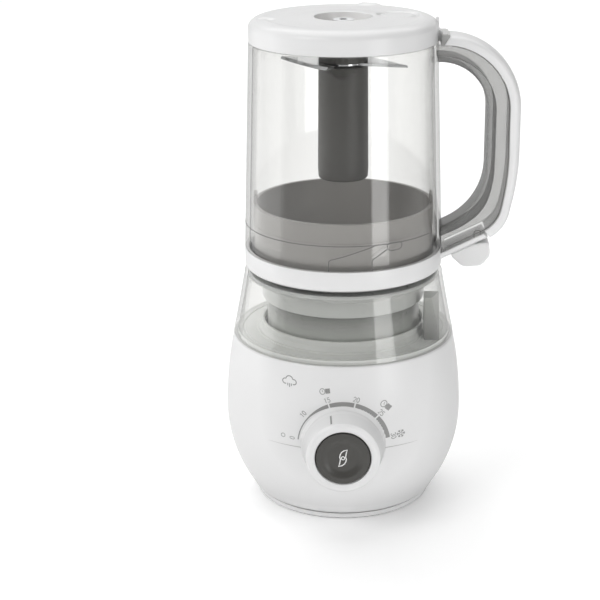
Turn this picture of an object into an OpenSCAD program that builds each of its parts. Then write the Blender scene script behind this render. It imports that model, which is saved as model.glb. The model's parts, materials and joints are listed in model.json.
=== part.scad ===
// Baby food maker: steamer and blender on one round base, with a lidded jar,
// a clear water tank round the base's neck and one rotary control.
// Origin: on the jar's axis, in the plane that the rubber foot ring stands on. +Z is up.
// The control faces -Y and the jar's handle points to +X. Everything is in millimetres.

/* [Base] */
// Widest radius of the round base
base_r = 74.5; // [72:0.5:77]
// Height of the widest point of the base
base_belly_z = 57; // [54:1:60]
// Radius of the base where it meets the tank
base_top_r = 69.2; // [68:0.2:70]
// Height of the joint between base and tank
base_top_z = 107; // [106:0.5:108]
// Radius of the foot flange
foot_r = 55.4; // [54:0.2:57]
// Wall of the base's housing
shell_t = 2.6; // [2.2:0.1:3]

/* [Tank] */
// Height of the tank's top rim
tank_top_z = 147.2; // [146:0.2:148]
// Outer radius of the tank at its top rim
tank_top_r = 61.9; // [61:0.1:62.4]
// Wall of the clear tank
tank_t = 2.2; // [2:0.1:2.5]
// Radius of the grey tower in the middle of the tank
tower_r = 47.8; // [47:0.1:48.5]

/* [Jar] */
// Outer radius of the jar at its bottom edge
jar_bottom_r = 61.2; // [60.8:0.1:61.6]
// Outer radius of the jar at its mouth
jar_top_r = 57.1; // [56.8:0.1:57.2]
// Height of the jar's bottom edge, where the white ring ends
jar_z = 163.6; // [163:0.1:164]
// Height of the jar's mouth
mouth_z = 289.8; // [289:0.1:290]
// Wall of the clear jar
jar_t = 2.6; // [2.4:0.1:2.8]
// Height of the white ring's bottom face
ring_z = 150.2; // [150:0.1:150.4]

/* [Lid] */
// Outer radius of the lid
lid_r = 57; // [56.6:0.1:57.2]
// Height of the lid's flat top
lid_top_z = 305; // [304.4:0.1:306]
// Radius of the lid's rounded shoulder
shoulder_r = 9; // [7:0.5:10]

/* [Handle] */
// Farthest reach of the handle from the jar's axis
handle_x = 107.3; // [106:0.1:108]
// Height of the handle's top edge
handle_top_z = 295; // [294:0.5:296]
// Width of the handle
handle_w = 24; // [22:1:26]
// Depth of the white cover on the clear channel
cover_t = 7; // [6:0.5:8]
// Depth of the clear channel
channel_t = 13.5; // [12:0.5:14]

/* [Control] */
// Height of the control knob's axis
knob_z = 57.4; // [56.4:0.2:58.4]
// Radius of the knob's front edge
knob_r = 21.8; // [21:0.1:22.4]
// Radius of the push button in the knob
button_r = 16.2; // [15.8:0.1:16.6]

/* [Drive] */
// Radius of the motor's can
motor_r = 24; // [22:1:25]
// Radius of the motor's shaft
shaft_r = 3; // [2.5:0.1:3.5]
// Radius of the blade's tip circle
blade_r = 41; // [36:1:42]
// Radius of the grey blade column
column_r = 15.5; // [14.5:0.1:16]

/* [Hidden] */
// Colours, as the object shows them
WHITE = "#f4f4f2";
CLEAR = [0.82, 0.83, 0.82, 0.45];
GREY = "#8f8c88";
DARK = "#55524f";
METAL = "#c6c8ca";
RUBBER = "#3c3c3c";
COPPER = "#b87333";
BRASS = "#c9a75a";
GREEN = "#2f6b45";

// Clearances: a running fit, a fit between pieces that slide, and a cut's overrun
run_gap = 0.04;
slip_gap = 0.35;
over = 1;

// Vertical stack of the base
cover_z = 0.8;
cover_top_z = 3.6;
case_screw_r = 47;
pad_out_r = 54.2;
pad_in_r = 51.2;
pad_sunk = 1.2;
deck_t = 3;
deck_z = base_top_z - deck_t;
tower_top_z = 131;
tank_floor_t = 2.4;
tank_slope = (base_top_r - tank_top_r) / (tank_top_z - base_top_z);
tower_t = 2.4;
seat_top_z = 147.5;
seat_r = 50.8;
seat_lip_r = 59.2;
seat_in_r = 43;

// Base housing: large arcs above and below the belly, then a small curl to the foot
curl_r = 59.5;
curl_z = 9;
neck_r = 52.5;

// Control knob stack, measured from the axis towards the front
knob_back = 75.7;
knob_face = 91.5;
button_face = 92;
boss_front = 75.1;
boss_back = 66;
boss_r = 24;
hub_r = 7;
spindle_r = 4;
stem_r = 2.2;
button_back = 84;
spring_seat = 79;

// Motor stack
can_z = 26;
can_top_z = 80;
bracket_z = 84;
shaft_bottom_z = 13;
shaft_top_z = 140;
pillar_ring_r = 28;
bracket_r = 33;

// Control board, flat above the bottom cover
board_z = 8;

// Cord outlet in the rear wall
cord_z = 16;

// Boiler, under the right-hand side of the tank
boiler_at = [45, -18];
boiler_r = 15;
boiler_z = 74;
boiler_top_z = 96;
duct_at = [54.7, -22];
water_at = [53, -10.5];

// Jar foot
ring_in_r = 58.6;
ring_floor_t = 2.4;
seal_top_z = ring_z + ring_floor_t + 1.4;
skirt_out_r = 58.2;
skirt_in_r = 56;
drum_r = 55.4;
drum_top_z = 191;
drum_t = 2;
rim_r = 54.2;
rim_t = 2;
rim_top_z = 297;

// Lid parts
plug_r = 50;
plug_z = 290.6;
lid_t = 2.4;
well_r = 17.5;
well_z = 298;
pin_x = 56.2;
pin_r = 1.1;

// Blade, near the top of its column
blade_z = 276.4;
blade_t = 1.6;

// Latch block at the root of the handle's cover
latch_x0 = 59.4;
latch_x1 = 63;

// Screw sizes
screw_r = 1.4;
head_r = 2.8;
head_t = 1.8;

// ---------- shared shapes ----------

// A tube from z0 to z1
module tube(r_out, r_in, z0, z1, fn = 96) {
    rotate_extrude($fn = fn)
        translate([r_in, z0]) square([r_out - r_in, z1 - z0]);
}

// A plain cylinder from z0 to z1
module rod(r, z0, z1, fn = 64) {
    translate([0, 0, z0]) cylinder(r = r, h = z1 - z0, $fn = fn);
}

// Puts a child that stands along +Z on the knob's axis, pointing to the front
module on_knob_axis() {
    translate([0, 0, knob_z]) rotate([90, 0, 0]) children();
}

// Puts a child that stands along +Z on the cord's axis, pointing to the back
module on_cord_axis() {
    translate([0, 0, cord_z]) rotate([-90, 0, 0]) children();
}

// Repeats a child round the axis at radius r, n times, starting at angle a0
module ring_of(n, r, a0 = 0) {
    for (i = [0 : n - 1]) rotate([0, 0, a0 + i * 360 / n]) translate([r, 0, 0]) children();
}

// A pan-head screw pointing down from its head's underside at z
module screw_down(z, len) {
    rod(head_r, z, z + head_t, 32);
    rod(screw_r, z - len, z, 24);
}

// Where two lines cross, each given by a point and an angle
function cross_at(a, ta, b, tb) =
    let (d = cos(ta) * sin(tb) - sin(ta) * cos(tb),
        s = ((b[0] - a[0]) * sin(tb) - (b[1] - a[1]) * cos(tb)) / d)
    [a[0] + s * cos(ta), a[1] + s * sin(ta)];

// Points of the arc that rounds corner b of a path a-b-c with radius r
function corner(a, b, c, r, n = 10) =
    let (u = (a - b) / norm(a - b), w = (c - b) / norm(c - b),
        half = acos(u * w) / 2, mid = (u + w) / norm(u + w),
        o = b + mid * r / sin(half),
        p = b + u * r / tan(half), q = b + w * r / tan(half),
        a0 = atan2(p[1] - o[1], p[0] - o[0]), a1 = atan2(q[1] - o[1], q[0] - o[0]),
        da = a1 - a0 > 180 ? a1 - a0 - 360 : a1 - a0 < -180 ? a1 - a0 + 360 : a1 - a0)
    [for (i = [0 : n]) o + r * [cos(a0 + da * i / n), sin(a0 + da * i / n)]];

// A path through corners, rounded at each inner one with its own radius
function rounded(path, radii) =
    concat([path[0]],
        [for (i = [1 : len(path) - 2])
            each radii[i - 1] > 0 ? corner(path[i - 1], path[i], path[i + 1], radii[i - 1]) : [path[i]]],
        [path[len(path) - 1]]);

function reversed(list) = [for (i = [len(list) - 1 : -1 : 0]) list[i]];

// ---------- handle outline, in the plane of the axis and the handle ----------

// The grip leans in below its knee, and the lower arm falls towards the ring
knee_z = 208;
lean = 12;
arm_angle = 26;
arm_x = 61;
arm_z = 154.2;

// The handle's outline at depth d inside its outer edge; lift raises the top run
function handle_path(d, lift = 0, top_r = 45.5, low_r = 24, x0 = 40) =
    let (x = handle_x - d,
        z = handle_top_z - d + lift,
        knee = cross_at([x, 0], 90, [handle_x, knee_z] + d * [-cos(lean), sin(lean)], 90 - lean),
        arm = [arm_x, arm_z] + d * [-sin(arm_angle), cos(arm_angle)],
        heel = cross_at(knee, 90 - lean, arm, arm_angle),
        end = cross_at(arm, arm_angle, [x0, 0], 90))
    rounded([[x0, z], [x, z], knee, heel, end],
        [max(top_r - d + lift, 2), 150, max(low_r - d / 2, 3)]);

// The inner edge of the grip at depth d: one broad bend from the grip to the ring's arm
inner_low_r = 40;
function grip_edge(d, lift, top_r = 45.5, x0 = 40) =
    let (x = handle_x - d,
        z = handle_top_z - d + lift,
        arm = [arm_x, arm_z] + d * [-sin(arm_angle), cos(arm_angle)],
        heel = cross_at([x, 0], 90, arm, arm_angle),
        end = cross_at(arm, arm_angle, [x0, 0], 90))
    rounded([[x0, z], [x, z], heel, end], [top_r - d + lift, inner_low_r]);

// A slab of a handle outline, w wide, centred on the handle's plane
module handle_slab(points, w) {
    rotate([90, 0, 0]) linear_extrude(height = w, center = true) polygon(points);
}

// The space taken by the jar inside the handle's root
module jar_space(gap) {
    rotate_extrude($fn = 96)
        polygon([[0, 140], [jar_bottom_r + gap, 140], [jar_bottom_r + gap, jar_z],
            [jar_top_r + gap, mouth_z], [jar_top_r + gap, 310], [0, 310]]);
}

// The split between the handle's upper cover and the ring's arm
split_at = [90.3, 168.6];
split_angle = -42;
module below_split(gap) {
    translate([split_at[0], 0, split_at[1]]) rotate([0, -split_angle, 0])
        translate([-60, -30, -60 - gap]) cube([120, 60, 60]);
}

// The four stand-offs of the control board
module board_points() {
    for (x = [-18, 18]) for (y = [23, 37]) translate([x, y, 0]) children();
}

// ---------- base: casings ----------

module bottom_cover() {
    color(WHITE) difference() {
        union() {
            rod(foot_r, cover_z, cover_top_z, 128);
            board_points() rod(2.5, cover_top_z - over, board_z, 24);
        }
        board_points() rod(1, cover_top_z, board_z + over, 24);
        tube(pad_out_r, pad_in_r, cover_z - over, cover_z + pad_sunk, 128);
        ring_of(4, case_screw_r) rod(screw_r + 0.1, cover_z - over, cover_top_z + over, 24);
        ring_of(4, case_screw_r) rod(head_r + 0.2, cover_z - over, cover_z + head_t, 32);
        ring_of(12, 22) translate([-5, -1.2, cover_z - over]) cube([10, 2.4, 6]);
    }
}

module foot_ring() {
    color(RUBBER) tube(pad_out_r, pad_in_r, 0, cover_z + pad_sunk, 128);
}

module bottom_screws() {
    color(METAL) ring_of(4, case_screw_r) {
        rod(head_r, cover_z, cover_z + head_t - 0.05, 32);
        rod(screw_r, cover_z + head_t - 0.05, 13, 24);
    }
}

// Radius of the housing's outside at height z between the curl and the tank
function arc_r(z, z_end, r_end) =
    let (h = abs(z_end - base_belly_z), d = base_r - r_end, rho = (h * h + d * d) / (2 * d))
    base_r - rho + sqrt(rho * rho - pow(z - base_belly_z, 2));

// The housing's outline, inset by t
function housing_path(t) = concat(
    [for (i = [0 : 10]) let (z = curl_z + (base_belly_z - curl_z) * i / 10) [arc_r(z, curl_z, curl_r) - t, z]],
    [for (i = [1 : 10]) let (z = base_belly_z + (base_top_z - base_belly_z) * i / 10)
        [arc_r(z, base_top_z, base_top_r) - t, z]]);

module lower_housing() {
    color(WHITE) difference() {
        union() {
            rotate_extrude($fn = 128) difference() {
                polygon(concat([[46, cover_top_z], [neck_r, cover_top_z], [curl_r - 2.2, 5.8]],
                    housing_path(0), [[46, base_top_z]]));
                polygon(concat([[0, 6.6], [52, 6.6], [curl_r - shell_t - 2, 8.6]],
                    housing_path(shell_t), [[base_top_r - shell_t, base_top_z + over], [0, base_top_z + over]]));
            }
            on_knob_axis() rod(boss_r, boss_back, boss_front, 96);
            ring_of(4, case_screw_r) rod(4, cover_top_z, 16, 32);
        }
        on_knob_axis() rod(hub_r + 1, boss_back - over, boss_front + over, 64);
        ring_of(4, case_screw_r) rod(screw_r, cover_top_z - over, 14, 24);
        on_cord_axis() rod(5, 50, 75, 48);
        for (s = [-1, 1]) on_knob_axis() translate([s * 15, 0, 0]) rod(screw_r, boss_back - over, 71, 24);
        hull() for (x = [-14, 14]) translate([x, 60, 24]) rotate([-90, 0, 0]) cylinder(r = 1.5, h = 20, $fn = 24);
    }
}

module top_deck() {
    color(WHITE) difference() {
        union() {
            rod(base_top_r - shell_t - 0.4, deck_z, base_top_z, 128);
            tube(tower_r - tower_t - 0.2, tower_r - tower_t - 2.8, base_top_z - over, base_top_z + 3);
        }
        rod(8, deck_z - over, base_top_z + over);
        ring_of(4, pillar_ring_r, 45) rod(screw_r + 0.1, deck_z - over, base_top_z + over, 24);
        translate(duct_at) rod(3.4, deck_z - over, base_top_z + over, 32);
        translate(water_at) rod(2.9, deck_z - over, base_top_z + over, 32);
        boiler_points() rod(screw_r + 0.1, deck_z - over, base_top_z + over, 24);
    }
}

// ---------- base: motor and drive ----------

module motor_can() {
    color(METAL) rotate_extrude($fn = 96)
        polygon([[6, can_z], [motor_r, can_z], [motor_r, can_top_z], [6, can_top_z],
            [6, can_top_z - 2], [motor_r - 2, can_top_z - 2], [motor_r - 2, can_z + 2], [6, can_z + 2]]);
}

module stator_magnets() {
    color(DARK) difference() {
        tube(motor_r - 2, 17.5, 36, 70);
        for (a = [0, 90]) rotate([0, 0, a]) translate([-2, -30, 35]) cube([4, 60, 36]);
    }
}

module motor_bracket() {
    color(METAL) difference() {
        union() {
            rod(bracket_r, bracket_z, bracket_z + 2.5, 96);
            tube(10, 6, can_top_z, bracket_z);
            ring_of(4, pillar_ring_r, 45) rod(3.6, bracket_z, deck_z - 2, 32);
        }
        rod(6, can_top_z - over, bracket_z + 4);
        ring_of(4, pillar_ring_r, 45) rod(screw_r, bracket_z + 6, deck_z, 24);
        ring_of(4, 18) rod(5, bracket_z - over, bracket_z + 4, 32);
    }
}

module motor_dampers() {
    color(RUBBER) ring_of(4, pillar_ring_r, 45) tube(5, screw_r + 0.1, deck_z - 2, deck_z, 48);
}

module motor_screws() {
    color(METAL) ring_of(4, pillar_ring_r, 45) screw_down(base_top_z, 14);
}

module lower_bearing() {
    color(BRASS) tube(6, shaft_r + run_gap, 22.5, 28.5);
}

module upper_bearing() {
    color(BRASS) tube(6, shaft_r + run_gap, 78, 86);
}

module armature() {
    color(COPPER) difference() {
        tube(16.6, shaft_r, 38, 68);
        ring_of(8, 16.6) rod(1.6, 37, 69, 24);
    }
    color(METAL) tube(8, shaft_r, 68, 75);
}

module motor_shaft() {
    color(METAL) rod(shaft_r, shaft_bottom_z, shaft_top_z);
}

module cooling_fan() {
    color(DARK) {
        tube(6, shaft_r, 13.5, 21);
        tube(20, 6, 13.5, 15);
        ring_of(9, 0) translate([5.5, -0.6, 15]) cube([13.5, 1.2, 5]);
    }
}

module drive_coupling() {
    color(DARK) difference() {
        rod(9.5, 134, 146, 64);
        rod(shaft_r, 133, shaft_top_z);
        rod(5.4, shaft_top_z, 147, 6);
        ring_of(6, 9.5, 30) rod(1.5, 141, 147, 24);
    }
}

module shaft_seal() {
    color(RUBBER) tube(8, shaft_r + 0.06, tower_top_z - 3, tower_top_z + 1.5);
}

// ---------- base: boiler ----------

// The boiler lid's three screws, clear of the steam and water tubes
module boiler_points() {
    for (a = [100, 190, 280]) translate(boiler_at) rotate([0, 0, a]) translate([11.5, 0, 0]) children();
}

module boiler_cup() {
    color(METAL) translate(boiler_at) rotate_extrude($fn = 64)
        polygon([[0, boiler_z], [boiler_r, boiler_z], [boiler_r, boiler_top_z],
            [boiler_r - 1.8, boiler_top_z], [boiler_r - 1.8, boiler_z + 2], [0, boiler_z + 2]]);
}

module boiler_seal() {
    color(RUBBER) translate(boiler_at) tube(boiler_r, boiler_r - 2, boiler_top_z, boiler_top_z + 1.2, 64);
}

module boiler_lid() {
    lid_z = boiler_top_z + 1.2;
    color(DARK) difference() {
        union() {
            translate(boiler_at) rod(boiler_r, lid_z, lid_z + 2.8, 64);
            boiler_points() rod(2.8, lid_z, deck_z, 32);
        }
        boiler_points() rod(screw_r, lid_z + 1, deck_z + over, 24);
        translate(duct_at) rod(3, lid_z - over, lid_z + 4, 32);
        translate(water_at) rod(2.5, lid_z - over, lid_z + 4, 32);
    }
}

module boiler_screws() {
    color(METAL) boiler_points() rod(screw_r, boiler_top_z + 2.4, base_top_z - 0.05, 24);
}

module heating_element() {
    color(METAL) translate([boiler_at[0], boiler_at[1], boiler_z - 2.3]) {
        rotate_extrude($fn = 64) translate([10, 0]) square([4, 4], center = true);
        for (a = [160, 200]) rotate([0, 0, a]) translate([10, 0, -9]) cylinder(r = 1.5, h = 9, $fn = 24);
    }
}

module thermostat() {
    color(METAL) translate(boiler_at) {
        rod(5, boiler_z - 7, boiler_z, 48);
        translate([-4, -1.5, boiler_z - 12]) cube([1, 3, 5]);
        translate([3, -1.5, boiler_z - 12]) cube([1, 3, 5]);
    }
}

module water_tube() {
    color(CLEAR) translate(water_at) tube(2.5, 1.6, boiler_top_z + 1.2, base_top_z + tank_floor_t, 32);
}

module steam_tube() {
    color(DARK) translate(duct_at) tube(3, 2, boiler_top_z + 1.2, base_top_z + tank_floor_t, 32);
}

// ---------- base: control ----------

module timer_body() {
    color(WHITE) on_knob_axis() difference() {
        translate([-18, -16, 49]) cube([36, 32, boss_back - 49]);
        rod(spindle_r + run_gap, 48, boss_back + over, 48);
        for (s = [-1, 1]) translate([s * 15, 0, 0]) rod(screw_r + 0.1, 48, boss_back + over, 24);
    }
}

module timer_screws() {
    color(METAL) for (s = [-1, 1]) on_knob_axis() translate([s * 15, 0, 0]) {
        rod(head_r, 49 - head_t, 49, 32);
        rod(screw_r, 49, 70.5, 24);
    }
}

module blend_switch() {
    color(DARK) on_knob_axis() {
        translate([-9, -5, 31]) cube([18, 10, 8]);
        translate([-1.5, -1.5, 39]) cube([3, 3, 1]);
    }
    color(METAL) on_knob_axis() translate([-12, -4, 31]) difference() {
        cube([3, 8, 18]);
        translate([-over, -over, 8]) cube([5, 2.6, 8]);
    }
}

module control_board() {
    color(GREEN) difference() {
        translate([-22, 19, board_z]) cube([44, 22, 1.6]);
        board_points() rod(1, board_z - over, board_z + 3, 24);
    }
    color(DARK) translate([-17, 28, board_z + 1.6]) cube([14, 10, 11]);
    color(RUBBER) translate([8, 33, board_z + 1.6]) rod(5, 0, 13, 32);
}

// A rubber sleeve in the rear wall with a flange that follows the wall's curve
module cord_gland() {
    color(RUBBER) difference() {
        union() {
            on_cord_axis() rod(4.9, 54, 66.5, 48);
            difference() {
                on_cord_axis() rod(7, 60, 68.6, 48);
                rotate_extrude($fn = 128) polygon(concat([[0, curl_z]], housing_path(-0.05), [[0, base_top_z]]));
            }
        }
        on_cord_axis() rod(3.2, 53, 70, 48);
    }
}

module control_knob() {
    color(WHITE) on_knob_axis() difference() {
        rotate_extrude($fn = 128) polygon(concat(
            [[spindle_r, boss_back + 0.4], [hub_r, boss_back + 0.4], [hub_r, knob_back],
                [knob_r + 3, knob_back], [knob_r + 2.2, knob_back + 3]],
            [for (a = [0 : 15 : 90]) [knob_r - 1.5 + 1.5 * cos(a), knob_face - 1.5 + 1.5 * sin(a)]],
            [[button_r + 0.4, knob_face], [button_r + 0.4, spring_seat], [spindle_r, spring_seat]]));
        translate([0, 0, boss_back]) cylinder(r = spindle_r, h = 30, $fn = 48);
    }
}

module knob_shaft() {
    color(METAL) on_knob_axis() tube(spindle_r, stem_r + 0.05, 50, spring_seat, 48);
}

module blend_button() {
    color(DARK) on_knob_axis() difference() {
        union() {
            rotate_extrude($fn = 128) polygon(concat([[0, button_back], [button_r, button_back]],
                [for (a = [0 : 15 : 90])
                    [button_r - 1.2 + 1.2 * cos(a), button_face - 1.2 + 1.2 * sin(a)]],
                [[0, button_face]]));
            rod(stem_r, 42.5, button_back, 48);
        }
        translate([0, 0, button_face + 29.2]) sphere(r = 31.5, $fn = 96);
    }
}

module button_spring() {
    color(METAL) on_knob_axis() tube(7.5, 6, spring_seat + 0.05, button_back - 0.05, 48);
}

// ---------- tank and seat ----------

// The space inside the tank's wall, less a gap
module tank_space(gap) {
    rotate_extrude($fn = 128) polygon([[0, base_top_z], [base_top_r - tank_t - gap, base_top_z],
        [tank_top_r - tank_t - gap, tank_top_z], [0, tank_top_z]]);
}

module tank() {
    color(CLEAR) difference() {
        rotate_extrude($fn = 128) polygon([[tower_r + 2, base_top_z], [base_top_r, base_top_z],
            [base_top_r, base_top_z + 1.2], [tank_top_r, tank_top_z], [tank_top_r - tank_t, tank_top_z],
            [base_top_r - tank_t - tank_slope * tank_floor_t, base_top_z + tank_floor_t],
            [tower_r + 3.8, base_top_z + tank_floor_t], [tower_r + 3.8, base_top_z + 9],
            [tower_r + 2, base_top_z + 9]]);
        translate(duct_at) rod(3, base_top_z - over, base_top_z + 5, 32);
        translate(water_at) rod(2.5, base_top_z - over, base_top_z + 5, 32);
    }
}

module tank_seal() {
    color(RUBBER) tube(tower_r + 1.7, tower_r + 0.3, base_top_z, base_top_z + 6);
}

module drive_tower() {
    color(GREY) difference() {
        rod(tower_r, base_top_z, tower_top_z, 128);
        rod(tower_r - tower_t, base_top_z - over, tower_top_z - 3, 128);
        rod(8, tower_top_z - 4, tower_top_z + over);
        ring_of(4, 40, 45) rod(screw_r, tower_top_z - 4, tower_top_z + over, 24);
    }
}

module seat_ring() {
    color(GREY) difference() {
        union() {
            rotate_extrude($fn = 128) polygon([[seat_in_r, tower_top_z], [seat_r, tower_top_z],
                [seat_r, seat_top_z - 6.5], [seat_lip_r, seat_top_z - 2.2], [seat_lip_r, seat_top_z],
                [seat_in_r, seat_top_z]]);
            ring_of(4, 40, 45) rod(4, tower_top_z, tower_top_z + 6, 32);
        }
        tube(seat_r - 2, seat_in_r + 2.5, seat_top_z - 4, seat_top_z + over, 128);
        ring_of(4, 40, 45) rod(screw_r, tower_top_z - over, tower_top_z + 5, 24);
    }
}

module steam_duct() {
    duct_z = base_top_z + tank_floor_t;
    color(DARK) difference() {
        intersection() {
            translate([duct_at[0] - 4.7, duct_at[1] - 6.5, duct_z]) cube([9.4, 13, 27.5]);
            tank_space(0.4);
        }
        intersection() {
            translate([duct_at[0] - 3.2, duct_at[1] - 5, duct_z - over]) cube([6.4, 10, 26]);
            tank_space(1.9);
        }
    }
}

module seat_seal() {
    color(RUBBER) tube(seat_r - 2.2, seat_in_r + 2.7, seat_top_z - 3.7, ring_z, 128);
}

// ---------- jar ----------

// The wall runs up to the mouth, then steps in to a rim that stands inside the lid
module jar() {
    slope = (jar_bottom_r - jar_top_r) / (mouth_z - jar_z);
    color(CLEAR) rotate_extrude($fn = 128) polygon([[skirt_in_r, seal_top_z], [skirt_out_r, seal_top_z],
        [skirt_out_r, jar_z], [jar_bottom_r, jar_z], [jar_bottom_r, jar_z + 0.4], [jar_top_r, mouth_z],
        [rim_r, mouth_z], [rim_r, rim_top_z], [rim_r - rim_t, rim_top_z], [rim_r - rim_t, mouth_z - 1],
        [jar_top_r - jar_t + slope * 5, mouth_z - 5], [jar_bottom_r - jar_t - slope * 4, jar_z + 4],
        [skirt_in_r, jar_z + 1]]);
}

module handle_channel() {
    outer = handle_path(cover_t);
    inner = grip_edge(cover_t + channel_t, 4);
    hollow_out = handle_path(cover_t - over, -over);
    hollow_in = grip_edge(cover_t + channel_t - 2.4, 2);
    color(CLEAR) difference() {
        handle_slab(concat(outer, reversed(inner)), handle_w - 3);
        handle_slab(concat(hollow_out, reversed(hollow_in)), handle_w - 8);
        jar_space(0.05);
        translate([0, 0, ring_z - 10]) cylinder(r = 64, h = jar_z - ring_z + 10.6, $fn = 96);
    }
}

module handle_cover() {
    color(WHITE) difference() {
        handle_slab(concat(handle_path(0), reversed(handle_path(cover_t))), handle_w);
        jar_space(latch_x1 - jar_top_r + 0.1);
        below_split(0);
    }
}

module latch_block() {
    latch_z = handle_top_z - cover_t;
    color(GREY) difference() {
        intersection() {
            translate([50, -handle_w / 2 + 1, latch_z]) cube([20, handle_w - 2, cover_t + 0.4]);
            tube(latch_x1, latch_x0, latch_z - over, latch_z + 20, 128);
        }
        for (y = [-9 : 3 : 9]) translate([50, y - 0.5, latch_z + cover_t - 0.6]) cube([20, 1, 2]);
        for (y = [-9 : 3 : 9]) translate([latch_x0 - 1, y - 0.5, latch_z - over]) cube([1.6, 1, 20]);
    }
}

module strainer() {
    floor_z = seal_top_z + 4;
    color(GREY) difference() {
        union() {
            rod(drum_r, seal_top_z, drum_top_z, 128);
            for (s = [-1, 1]) intersection() {
                translate([s * (drum_r - 1) - 1, -6, drum_top_z]) cube([2, 12, 5]);
                rod(drum_r, drum_top_z, drum_top_z + 6, 128);
            }
        }
        difference() {
            rod(drum_r - drum_t, floor_z + 2, drum_top_z + over, 128);
            rod(9, floor_z, floor_z + 6, 48);
        }
        rod(drum_r - drum_t - 2, seal_top_z - over, floor_z, 128);
        rod(6.5, floor_z - over, floor_z + 8, 48);
        for (k = [1 : 4]) ring_of(6 * k, 9 + 8.5 * k, 7 * k) rod(1.7, floor_z - over, floor_z + 4, 16);
    }
}

module jar_seal() {
    color(RUBBER) tube(skirt_out_r, 50, ring_z + ring_floor_t, seal_top_z, 128);
}

module jar_ring() {
    color(WHITE) {
        difference() {
            rod(jar_bottom_r, ring_z, jar_z - 0.2, 128);
            rod(ring_in_r, ring_z + ring_floor_t, jar_z + over, 128);
            rod(16, ring_z - over, ring_z + 5, 64);
            ring_of(3, 30, 90) rod(7, ring_z - over, ring_z + 5, 48);
        }
        difference() {
            union() {
                intersection() {
                    handle_slab(concat(handle_path(0.4), reversed(handle_path(cover_t - 0.5))), handle_w - 2);
                    below_split(1);
                }
                handle_slab(rounded([[73, 160], [73, 150.4], [86, 151.4], [91.2, 157], [89.6, 166], [80, 164]],
                    [3, 6, 4, 1]), 18);
            }
            rod(jar_bottom_r - 0.3, 140, 180, 128);
        }
    }
}

// ---------- lid and blade ----------

module lid_seal() {
    color(RUBBER) tube(rim_r - rim_t - 0.3, plug_r + slip_gap, plug_z + 0.4, plug_z + 3.4, 128);
}

module lid() {
    top_r = lid_r - shoulder_r;
    side_z = 299;
    rise = lid_top_z - side_z;
    color(WHITE) difference() {
        union() {
            rotate_extrude($fn = 128) difference() {
                polygon(concat([[0, mouth_z + 0.4], [lid_r, mouth_z + 0.4]],
                    [for (a = [0 : 10 : 90]) [top_r + shoulder_r * cos(a), side_z + rise * sin(a)]],
                    [[0, lid_top_z]]));
                polygon([[0, mouth_z], [lid_r - lid_t, mouth_z], [lid_r - lid_t, side_z],
                    [top_r, lid_top_z - lid_t], [0, lid_top_z - lid_t]]);
            }
            tube(plug_r, plug_r - 2, plug_z, lid_top_z - 1, 128);
            tube(well_r + 2, 6, well_z - 2, lid_top_z - 1);
            difference() {
                translate([pin_x, 0, 0]) rod(2.7, mouth_z + 0.4, 298, 48);
                rod(lid_r - lid_t, mouth_z, 298 + over);
            }
        }
        rod(well_r, well_z, lid_top_z + over);
        rod(8, well_z - 3, well_z + over);
        translate([-50, 0, lid_top_z + 6]) sphere(r = 8.5, $fn = 48);
        translate([pin_x, 0, 0]) rod(pin_r + 0.06, mouth_z + 1.6, 312, 48);
        translate([33, 0, lid_top_z - 1]) rotate_extrude($fn = 64) translate([10, 0]) square([2.4, 3]);
    }
}

module lock_pin() {
    color(WHITE) translate([pin_x, 0, 0]) rod(pin_r, 296.4, 304.2, 48);
}

module lock_spring() {
    color(METAL) translate([pin_x, 0, 0]) tube(pin_r - 0.1, 0.5, mouth_z + 1.65, 296.35, 32);
}

module spindle_bush() {
    color(BRASS) tube(8, 4 + run_gap, 290, 300);
}

module blade_spindle() {
    color(METAL) difference() {
        union() {
            rod(4, 262, 301, 64);
            rod(6.5, 300.2, 303, 64);
            rod(6.5, 286.5, 289.6, 64);
        }
        rod(2.6, 300, 304, 6);
    }
}

module blade_column() {
    color(DARK) difference() {
        rotate_extrude($fn = 96) polygon([[0, 206], [column_r - 2, 206], [column_r, 208],
            [column_r - 0.4, blade_z - 1.4], [10, blade_z - 1.4], [10, blade_z - 0.2], [0, blade_z - 0.2]]);
        rod(4, 262, blade_z);
        rod(11, 205, 258);
    }
}

// One wing of the blade for a 41 mm radius: a straight ground edge from the tip to the front corner
wing = [[-38.5, 14.5], [-26, -5], [-15.5, -19.5], [-10, -22.5], [-3.5, -12.5], [0, 0], [-10, 9], [-24, 12.5]];
module blade() {
    color(METAL) difference() {
        union() {
            rod(12, blade_z, blade_z + blade_t, 64);
            for (a = [0, 180]) rotate([0, 0, a]) translate([0, 0, blade_z])
                linear_extrude(height = blade_t) polygon([for (p = wing) p * blade_r / 41]);
        }
        rod(4, blade_z - over, blade_z + blade_t + over);
    }
}

module blade_nut() {
    nut_r = column_r - 0.4;
    nut_z = blade_z + blade_t + 0.2;
    color(DARK) rotate_extrude($fn = 96)
        polygon([[4, nut_z], [nut_r, nut_z], [nut_r, 289.6], [7, 289.6], [7, 286.3], [4, 286.3]]);
}

bottom_cover();
foot_ring();
bottom_screws();
lower_housing();
top_deck();
motor_can();
stator_magnets();
motor_bracket();
motor_dampers();
motor_screws();
lower_bearing();
upper_bearing();
armature();
motor_shaft();
cooling_fan();
drive_coupling();
shaft_seal();
boiler_cup();
boiler_seal();
boiler_lid();
boiler_screws();
heating_element();
thermostat();
water_tube();
steam_tube();
timer_body();
timer_screws();
blend_switch();
control_board();
cord_gland();
control_knob();
knob_shaft();
blend_button();
button_spring();
tank();
tank_seal();
drive_tower();
seat_ring();
steam_duct();
seat_seal();
jar();
handle_channel();
handle_cover();
latch_block();
strainer();
jar_seal();
jar_ring();
lid_seal();
lid();
lock_pin();
lock_spring();
spindle_bush();
blade_spindle();
blade_column();
blade();
blade_nut();
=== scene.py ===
import json
import math

import bmesh
import bpy
from mathutils import Matrix, Vector


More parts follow.
